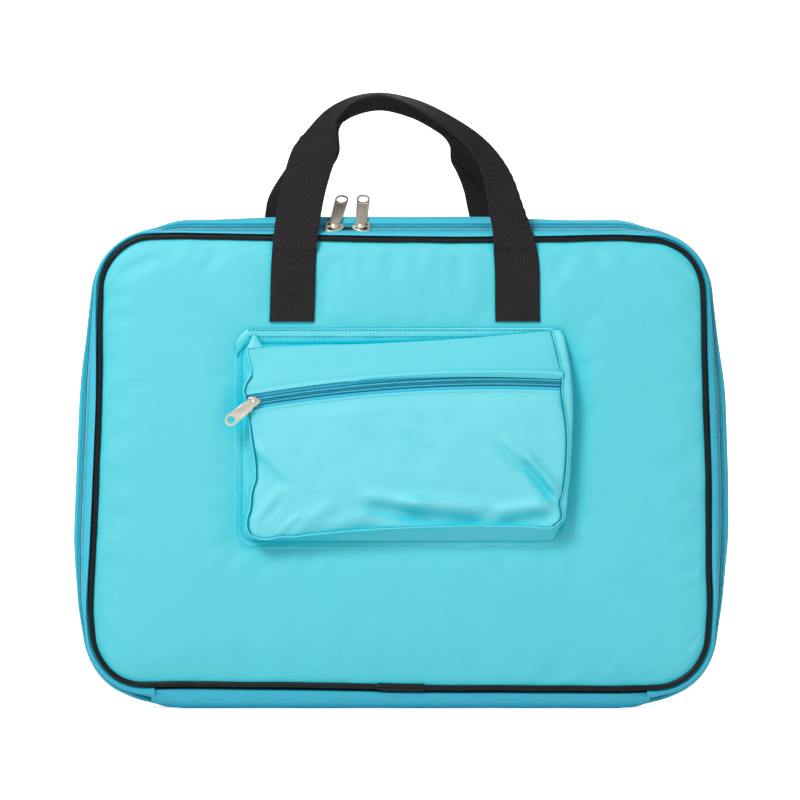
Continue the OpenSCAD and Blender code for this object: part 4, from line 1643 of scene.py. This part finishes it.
def pocket_edges(count):
    """The four edges of the pocket's front as world (x, z) points."""
    world = [np.array([pocket_point(x, z) for x, z in edge]) for edge in (LEFT_EDGE, RIGHT_EDGE, LOWER_EDGE)]
    upper = zip_curve(-0.0086, count)
    left = np.concatenate([world[0][:-1], upper[:1]])
    right = np.concatenate([world[1][:-1], upper[-1:]])
    return (along_line(rounded_line(left, 2), 71), along_line(rounded_line(right, 2), 71),
            along_line(rounded_line(world[2], 2), count), upper)


def pocket_front():
    """The soft front of the pocket below its zip."""
    left, right, lower, upper = pocket_edges(121)
    flat = coons(left, right, lower, upper)
    columns, rows = flat.shape[:2]
    grid = np.zeros((columns, rows, 3))
    wide = np.linalg.norm(flat[-1, 0] - flat[0, 0])
    for i in range(columns):
        tall = np.linalg.norm(flat[i, -1] - flat[i, 0])
        for j in range(rows):
            x, z = flat[i, j]
            inside = min(i / (columns - 1) * wide, (1 - i / (columns - 1)) * wide, j / (rows - 1) * tall)
            to_zip = (1 - j / (rows - 1)) * tall
            depth = front_surface(x, z, inside)
            flat_at_zip = float(ease(to_zip / 0.02))
            grid[i, j] = (x, -(depth * flat_at_zip + (1 - flat_at_zip) * (-POCKET_Y + 0.0004)), z)
    piece = loft("pocket_front_cloth", grid)
    made_thick(piece, 0.0012, -1.0, 60)
    finish(piece, "lid", "pocket_cloth", ["pocket_front"])
    return left, right, lower


def pocket_top():
    """The upper panel, from the zip back to the hem."""
    lower = zip_curve(0.0084, 121)
    left = np.array([lower[0]] + [pocket_point(*p) for p in UPPER_LEFT[1:]])
    right = np.array([lower[-1]] + [pocket_point(*p) for p in UPPER_RIGHT[1:]])
    left, right = along_line(rounded_line(left, 2), 31), along_line(rounded_line(right, 2), 31)
    upper = np.linspace(left[-1], right[-1], 121)
    upper[:, 1] -= 0.0045 * np.sin(np.linspace(0, math.pi, 121)) * np.linspace(0.3, 1.0, 121)
    flat = coons(left, right, lower, upper)
    columns, rows = flat.shape[:2]
    grid = np.zeros((columns, rows + 6, 3))
    for i in range(columns):
        open_share = (1 - i / (columns - 1)) ** 0.8
        for j in range(rows):
            x, z = flat[i, j]
            t = j / (rows - 1)
            ends = min(i, columns - 1 - i) / (columns - 1) * 0.33
            front = -POCKET_Y + 0.0004
            back = hem_depth(x, z) + 0.0028 + 0.0072 * open_share
            depth = front + (back - front) * t ** 1.5
            depth += 0.0009 * ripple(x, 61, z, 0.05) * math.sin(math.pi * t)
            depth -= 0.0022 * math.exp(-ends / 0.006) * math.sin(math.pi * min(t + 0.15, 1))
            grid[i, j] = (x, -depth, z)
        # the narrow top wall, tucked in behind the upper edge
        rise = HEM_HIGH.z - 0.010 - z
        for j, (up, out) in enumerate(((0.02, 0.85), (-0.04, 0.5), (-0.02, 0.16), (0.15, 0.04), (0.5, 0.02),
                                       (1, 0))):
            grid[i, rows + j] = (x, -(hem_depth(x, z) + 0.0005 + (depth - hem_depth(x, z)) * out),
                                 z + rise * up)
    piece = loft("pocket_top_cloth", grid)
    made_thick(piece, 0.0012, -1.0, 60)
    # painted shade: the top takes the panels' cloth, darker than the pocket's brightened cloth of the same
    # fabric
    finish(piece, "lid", "pocket_cloth", ["pocket_top"], looks="case_cloth")
    return left, right


def hem_path(inset, count):
    """World (x, z) points along the hem, down the left side, along the bottom and up the right one."""
    low_x, high_x = HEM_LOW.x + inset, HEM_HIGH.x - inset
    low_z, high_z = HEM_LOW.z + inset, HEM_HIGH.z - inset * 0.5
    radius = max(0.018 - inset, 0.006)
    turn = [(low_x + radius - radius * math.cos(a), low_z + radius - radius * math.sin(a))
            for a in np.linspace(0, math.pi / 2, 10)]
    other = [(high_x - (x - low_x), z) for x, z in turn[::-1]]
    head = [(low_x + 0.0130, high_z), (low_x + 0.0065, high_z - 0.0065), (low_x + 0.0015, high_z - 0.015),
            (low_x, high_z - 0.024)]
    tail = [(high_x, high_z - 0.050), (high_x - 0.0035, high_z - 0.022), (high_x - 0.0090, high_z - 0.004),
            (high_x - 0.0150, high_z)]
    path = along_line(head + turn + other + tail, count)
    drawn = ease((path[:, 0] - HEM_HIGH.x + 0.03) / 0.015) * ease((HEM_LOW.z + 0.13 - path[:, 1]) / 0.09)
    path[:, 0] -= 0.0085 * drawn
    return path


def edge_depth(x, z):
    """How far the sewn edge of the pocket's front and upper panel stands out from the middle of the case."""
    on_left = x < pocket_point(0, 0)[0]
    low, high, stand = (0.164, 0.2095, 0.0098) if on_left else (0.168, 0.2285, 0.0026)
    t = min(max((z - HEM_LOW.z - low) / (high - low), 0), 1)
    beside_zip = 1 - float(ease((abs(z - HEM_LOW.z - (0.154 if on_left else 0.166)) - 0.008) / 0.016))
    front, back = -POCKET_Y - 0.0020 + 0.0022 * beside_zip, hem_depth(x, z) + stand
    return front + (back - front) * t ** 1.5


def pocket_corner():
    """The pinched corner of the wall beside the upper edge, a small folded triangle."""
    tip, left, right = pocket_point(-0.1570, 0.2255), pocket_point(-0.1637, 0.2095), pocket_point(-0.1470,
        0.2105)
    rows = []
    for t in np.linspace(0.06, 1, 9):
        row = []
        for across in np.linspace(0, 1, 7):
            x, z = (tip[i] + ((left[i] + (right[i] - left[i]) * across) - tip[i]) * t for i in (0, 1))
            out = 0.0018 + 0.0086 * t * (1 - 0.35 * across) + 0.0012 * math.sin(math.pi * across) * t
            row.append((x, -(hem_depth(x, z) + out), z))
        rows.append(row)
    piece = loft("pocket_corner_fold", rows)
    made_thick(piece, 0.0011, 0.0, 60)
    finish(piece, "lid", "pocket_cloth")


def pocket_sides(front_left, front_right, front_lower, top_left, top_right):
    """The bellows wall between the hem and the pocket's front, with a soft pleat."""
    count = 260
    front_line = np.concatenate([top_left[::-1], front_left[::-1][1:], front_lower[1:], front_right[1:],
                                 top_right[1:]])
    edge = along_line(front_line, count)
    root = hem_path(0.0085, count)
    first = next(k for k in range(count // 2, count) if edge[k, 0] > front_right[0, 0] - 0.0005)
    swell = along_line(rounded_line([pocket_point(*p) for p in WALL_EDGE], 2), count - first)
    rows = []
    for k in range(count):
        (fx, fz), (bx, bz) = edge[k], root[k]
        front_depth = edge_depth(fx, fz) - 0.0006
        back_depth = hem_depth(bx, bz)
        row = []
        for t in np.linspace(0, 1, 11):
            x, z = fx + (bx - fx) * t, fz + (bz - fz) * t
            depth = front_depth + (back_depth - front_depth) * t
            reach = max(front_depth - back_depth, 0)
            pleat = min(0.0028, reach * 0.14) * math.sin(math.pi * t)
            fold = 0.0013 * ripple(fx, 71 + t, fz, 0.020) * math.sin(math.pi * t)
            middle_x, middle_z = pocket_point(0, 0.09)
            away = np.array([x - middle_x, (z - middle_z) * 1.6])
            away /= max(np.linalg.norm(away), 1e-6)
            x -= away[0] * (pleat + fold)
            z -= away[1] * (pleat + fold)
            row.append((x, -depth, z))
        if k >= first:
            (wx, wz), reach = swell[k - first], front_depth - back_depth
            wave = 0.0005 * ripple(wx, 75, wz, 0.02)
            bent = [(fx, -front_depth, fz), (wx - 0.0012 + wave, -front_depth - 0.0004, wz),
                    (wx + 0.0008 + wave, -front_depth + reach * 0.30, wz),
                    (wx - 0.0006, -front_depth + reach * 0.75, wz),
                    (min(bx, wx - 0.003), -back_depth, bz)]
            bent = along_line(rounded_line(bent, 2), 11)
            share = float(ease((k - first) / 9))
            row = [tuple((1 - share) * np.array(a) + share * b) for a, b in zip(row, bent)]
        rows.append(row)
    piece = loft("pocket_side_cloth", rows)
    made_thick(piece, 0.0011, 0.0, 60)
    finish(piece, "lid", "pocket_cloth", ["pocket_sides"])
    return edge


def pocket_hem():
    """The flat hem that is sewn to the panel, and its stitching."""
    outer, inner = hem_path(0.0, 240), hem_path(0.0102, 240)
    rows = []
    for (ax, az), (bx, bz) in zip(outer, inner):
        row = []
        for t in np.linspace(0, 1, 7):
            x, z = ax + (bx - ax) * t, az + (bz - az) * t
            edge = 0.0009 * (1 - float(ease(min(t, 1 - t) / 0.12)))
            wave = 0.0003 * ripple(x, 81, z, 0.02)
            row.append((x, -(hem_depth(x, z) - edge + wave), z))
        rows.append(row)
    sides = loft("hem_sides", rows)
    top = []
    for x in np.linspace(HEM_LOW.x + 0.0020, HEM_HIGH.x - 0.0036, 120):
        cut = np.interp(x - HEM_LOW.x, (0, 0.0015, 0.0065, 0.0130), (0.024, 0.015, 0.0065, 0))
        cut += np.interp(HEM_HIGH.x - x, (0, 0.0035, 0.0090, 0.0150, 0.0220),
                         (0.050, 0.028, 0.010, 0.0040, 0))
        cut -= 0.0038 + 0.0014 * (x - HEM_LOW.x) / (HEM_HIGH.x - HEM_LOW.x)
        row = []
        for t in np.linspace(0, 1, 8):
            z = HEM_HIGH.z - cut - 0.0155 * t
            edge = 0.0009 * (1 - float(ease(min(t, 1 - t) / 0.12)))
            row.append((x, -(hem_depth(x, z) + 0.0006 - edge + 0.0003 * ripple(x, 83, z, 0.025)), z))
        top.append(row)
    upper = loft("hem_top", top)
    for part in (sides, upper):
        apply_modifier(part, "SOLIDIFY", thickness=0.0012, offset=-1.0)
        outwards(part)
    piece = joined("pocket_hem_cloth", [sides, upper], Matrix.Identity(4))
    finish(piece, "lid", "case_cloth", ["pocket_hem"], looks="pocket_cloth")
    rows_of = [[(x, -(hem_depth(x, z) + 0.0001), z) for x, z in hem_path(inset, 200)]
               for inset in (0.0022, 0.0078)]
    for drop in (-0.0030, 0.0040):
        rows_of.append([(x, -(hem_depth(x, HEM_HIGH.z - drop) + 0.0021), HEM_HIGH.z - drop)
                        for x in np.linspace(HEM_LOW.x + 0.014, HEM_HIGH.x - 0.026, 100)])
    threads = [stitches("thread", row, [(0, -1, 0)] * len(row), radius=0.0003 if k < 2 else 0.0005)
               for k, row in enumerate(rows_of)]
    finish(joined("pocket_hem_thread", threads, Matrix.Identity(4)), "lid", "case_cloth", looks="hem_thread")


def pocket_seam(edge):
    """The narrow welt along the edges of the pocket's front, where front and wall are sewn together."""
    rows = []
    count = len(edge)
    tangent = np.gradient(edge, axis=0)
    tangent /= np.linalg.norm(tangent, axis=1)[:, None]
    for k in range(count):
        x, z = edge[k]
        depth = edge_depth(x, z)
        side = np.array([-tangent[k, 1], tangent[k, 0]])
        fat = 0.0011 * (1 + 0.15 * ripple(x, 91, z, 0.01))
        row = []
        for a in np.linspace(0, 2 * math.pi, 9)[:-1]:
            row.append((x - side[0] * fat * math.cos(a), -(depth + fat * 1.1 * math.sin(a)),
                        z - side[1] * fat * math.cos(a)))
        rows.append(row)
    piece = loft("pocket_front_welt", rows, ring=True)
    closed(piece, 60)
    finish(piece, "lid", "pocket_cloth")
    # a dark line sunk beside the welt: painted shade along the seam
    centres = [np.mean(row, axis=0) - (tangent[k, 1] * 0.0015, 0.0011, -tangent[k, 0] * 0.0015)
               for k, row in enumerate(rows)]
    steep = [k for k in range(count) if (abs(tangent[k, 1]) > 0.4 or edge[k, 1] > HEM_LOW.z + 0.05)
             and (edge[k, 0] > 0 or edge[k, 1] < HEM_LOW.z + 0.184)]
    halves = [[centres[k] for k in steep if centres[k][0] < 0],
              [centres[k] for k in steep if centres[k][0] > 0]]
    lines = [painted_shade_line("seam", half, 0.00035) for half in halves]
    finish(joined("pocket_seam_line", lines, Matrix.Identity(4)), "lid", "pocket_cloth", looks="seam_thread")


def pocket_zip():
    """The pocket's zip: tapes, folded cloth edges, teeth and stitching."""
    sizes = bpy.context.scene.zip_sizes
    y = pocket_arc()[4]
    for name, side in (("lower", -1), ("upper", 1)):
        rows = []
        for near, far in zip(zip_curve(side * 0.0006, 120), zip_curve(side * 0.0118, 120)):
            row = [(near[0], y + 0.0008, near[1]), (near[0], y, near[1]), (far[0], y, far[1]),
                   (far[0], y + 0.0008, far[1])]
            rows.append(row)
        tape = loft(f"pocket_{name}_tape", rows, ring=True)
        outwards(tape)
        finish(tape, "lid", "zip_tape", ["pocket_zip_tape"])
    centre_x, centre_z, radius, home, _ = pocket_arc()
    span = math.radians(JOINTS["pocket_slider_run"]["range_deg"][1])
    start, end = home - 0.006 / radius, home + span + 0.006 / radius
    template = tooth_template(sizes.pocket_coil_width / 2 + 0.0002, 0.0016, 0.00085)
    count = int((end - start) * radius / sizes.pocket_tooth_pitch)
    places = []
    for side in (-1, 1):
        for k in range(count):
            angle = start + (k + (0.25 if side < 0 else 0.75)) * (end - start) / count
            place = np.array(pocket_zip_place(angle))
            origin = place[:3, 3] - side * 0.0002 * place[:3, 1]
            places.append(place_of(origin, place[:3, 0] * side, place[:3, 1] * side, place[:3, 2]))
    teeth = stamp("pocket_zip_teeth", template, places)
    finish(teeth, "lid", "zip_coil", ["pocket_zip_coil"], looks="pocket_coil")
    rows_of = [[(px, POCKET_Y - 0.0006, pz) for px, pz in zip_curve(offset, 120)]
               for offset in (-0.0104, 0.0104)]
    dots = [stitches("dots", [(px, y - 0.0017, pz) for px, pz in zip_curve(offset, 120)], [(0, -1, 0)] * 120,
                     0.0016, 0.0013, 0.0006) for offset in (-0.0023, 0.0023)]
    finish(joined("pocket_coil_thread", dots, Matrix.Identity(4)), "lid", "zip_tape", looks="zip_coil")
    # painted shadow: a dark line just under the edge of the upper fold
    shade = painted_shade_line("pocket_fold_edge", [(px, y - 0.0004, pz) for px, pz in zip_curve(0.0076, 120)],
                      0.00045)
    finish(shade, "lid", "case_cloth", looks="hem_thread")
    # painted shade: dark lines along both edges of the pocket's coil
    edges = [painted_shade_line("edge", [(px, y - 0.0003, pz) for px, pz in zip_curve(offset, 120)], 0.00035)
             for offset in (-0.0041, 0.0041)]
    finish(joined("pocket_coil_edge", edges, Matrix.Identity(4)), "lid", "zip_tape", looks="seam_thread")
    threads = [stitches("thread", row, [(0, -1, 0)] * len(row), 0.0024, 0.0018, 0.00045) for row in rows_of]
    finish(joined("pocket_zip_thread", threads, Matrix.Identity(4)), "lid", "case_cloth",
           looks="cloth_thread")
    for name, side in (("lower", -1), ("upper", 1)):
        rows = []
        for k, (px, pz) in enumerate(zip_curve(side * 0.0084, 120)):
            rows.append([])
            up = np.array([px - centre_x, pz - centre_z])
            up /= np.linalg.norm(up)
            for s, d in ((0.0, -0.0010), (-0.0008, 0.0), (-0.0004, 0.0008), (0.0012, 0.0010),
                         (0.0035, 0.0003),
                         (0.0035, -0.0008)):
                qx, qz = px + up[0] * s * side, pz + up[1] * s * side
                rows[-1].append((qx, POCKET_Y - d, qz))
        fold = loft(f"pocket_{name}_zip_fold", rows, ring=True)
        closed(fold, 50)
        finish(fold, "lid", "pocket_cloth")


class CASE_OT_pocket(bpy.types.Operator):
    """Add the bellows pocket with its zip"""

    bl_idname = "case.pocket"
    bl_label = "Pocket"

    def execute(self, context):
        left, right, lower = pocket_front()
        top_left, top_right = pocket_top()
        edge = pocket_sides(left, right, lower, top_left, top_right)
        pocket_seam(edge)
        pocket_corner()
        pocket_hem()
        pocket_zip()
        return {"FINISHED"}


# ---------------------------------------------------------------------------
# Stage


def area_light(name, place, target, width, height, power):
    """A soft box light aimed at the target."""
    lamp = bpy.data.lights.new(name, "AREA")
    lamp.shape = "RECTANGLE"
    lamp.size, lamp.size_y, lamp.energy = width, height, power
    light = linked(name, lamp)
    light.location = place
    light.rotation_euler = (Vector(target) - Vector(place)).to_track_quat("-Z", "Y").to_euler()


class CASE_OT_stage(bpy.types.Operator):
    """Add the floor, the backdrop, the lights and the camera"""

    bl_idname = "case.stage"
    bl_label = "Stage"

    def execute(self, context):
        scene = context.scene
        target = (0, 0, 0.30)
        # floor and backdrop in one sheet that curves up behind
        depth, height, bend = 3.2, 4.0, 1.2
        profile = [(-4.0, 0.0), (depth - bend, 0.0)]
        profile += [(depth - bend + bend * math.sin(a), bend - bend * math.cos(a))
                    for a in np.linspace(0.1, math.pi / 2, 12)]
        profile.append((depth, height))
        rows = [[(x, y, z) for x in (-5.0, 5.0)] for y, z in profile]
        sweep = loft("floor_sweep", rows)
        select_only(sweep)
        bpy.ops.object.shade_smooth()
        paper, tree, shader = shader_tree("paper")
        shader.inputs["Roughness"].default_value = 0.9
        grain = texture(tree, "ShaderNodeTexNoise", Scale=30)
        tree.links.new(tinted(tree, (0.93, 0.93, 0.93), grain.outputs["Fac"], 0.99, 1.0),
                       shader.inputs["Base Color"])
        rays = add(tree, "ShaderNodeLightPath")
        shader.inputs["Emission Color"].default_value = (1, 1, 1, 1)
        tree.links.new(maths(tree, "MULTIPLY", rays.outputs["Is Camera Ray"], 0.8),
                       shader.inputs["Emission Strength"])
        sweep.data.materials.append(paper)
        world = scene.world or bpy.data.worlds.new("studio")
        scene.world = world
        world.use_nodes = True
        background = world.node_tree.nodes["Background"]
        background.inputs["Color"].default_value = (1, 1, 1, 1)
        background.inputs["Strength"].default_value = 0.24
        area_light("key_light", (-1.95, -2.7, 3.3), target, 1.5, 1.5, 182)
        area_light("fill_light", (1.8, -1.8, 0.9), target, 1.8, 1.8, 10)
        area_light("rear_light", (0.9, 1.9, 1.8), target, 1.6, 1.6, 24)
        # camera, square on to the front
        far = 2.4
        view_width = 0.8403
        lens = bpy.data.cameras.new("camera")
        lens.sensor_width = 36
        lens.lens = lens.sensor_width * far / view_width
        camera = linked("camera", lens)
        camera.location = (-0.001, PANEL_LOW.y - far, 0.3268)
        camera.rotation_euler = (math.pi / 2, 0, 0)
        scene.camera = camera
        scene.view_settings.view_transform = "Standard"
        return {"FINISHED"}


class CASE_PT_sidebar(bpy.types.Panel):
    """Sizes, colours and pieces of the carrying case"""

    bl_idname = "CASE_PT_sidebar"
    bl_label = "Carrying Case"
    bl_space_type = "VIEW_3D"
    bl_region_type = "UI"
    bl_category = "Carrying Case"

    def draw(self, context):
        layout = self.layout
        for group in GROUPS:
            column = layout.column(align=True)
            for name in group.__annotations__:
                column.prop(getattr(context.scene, GROUPS[group]), name)
        for operator in OPERATORS:
            layout.operator(operator.bl_idname)


GROUPS = {CaseSizes: "case_sizes", ZipSizes: "zip_sizes", HandleSizes: "handle_sizes",
          CaseColours: "case_colours"}
OPERATORS = (CASE_OT_panels, CASE_OT_piping, CASE_OT_gusset, CASE_OT_sliders, CASE_OT_handles, CASE_OT_pocket,
             CASE_OT_stage)


def register():
    for group, name in GROUPS.items():
        bpy.utils.register_class(group)
        setattr(bpy.types.Scene, name, bpy.props.PointerProperty(type=group))
    for one in (*OPERATORS, CASE_PT_sidebar):
        bpy.utils.register_class(one)


def unregister():
    for one in (CASE_PT_sidebar, *reversed(OPERATORS)):
        bpy.utils.unregister_class(one)
    for group, name in reversed(GROUPS.items()):
        delattr(bpy.types.Scene, name)
        bpy.utils.unregister_class(group)


def main():
    register()
    bpy.ops.case.stage()
    bpy.ops.case.panels()
    bpy.ops.case.piping()
    bpy.ops.case.gusset()
    bpy.ops.case.sliders()
    bpy.ops.case.handles()
    bpy.ops.case.pocket()


if __name__ == "__main__":
    main()
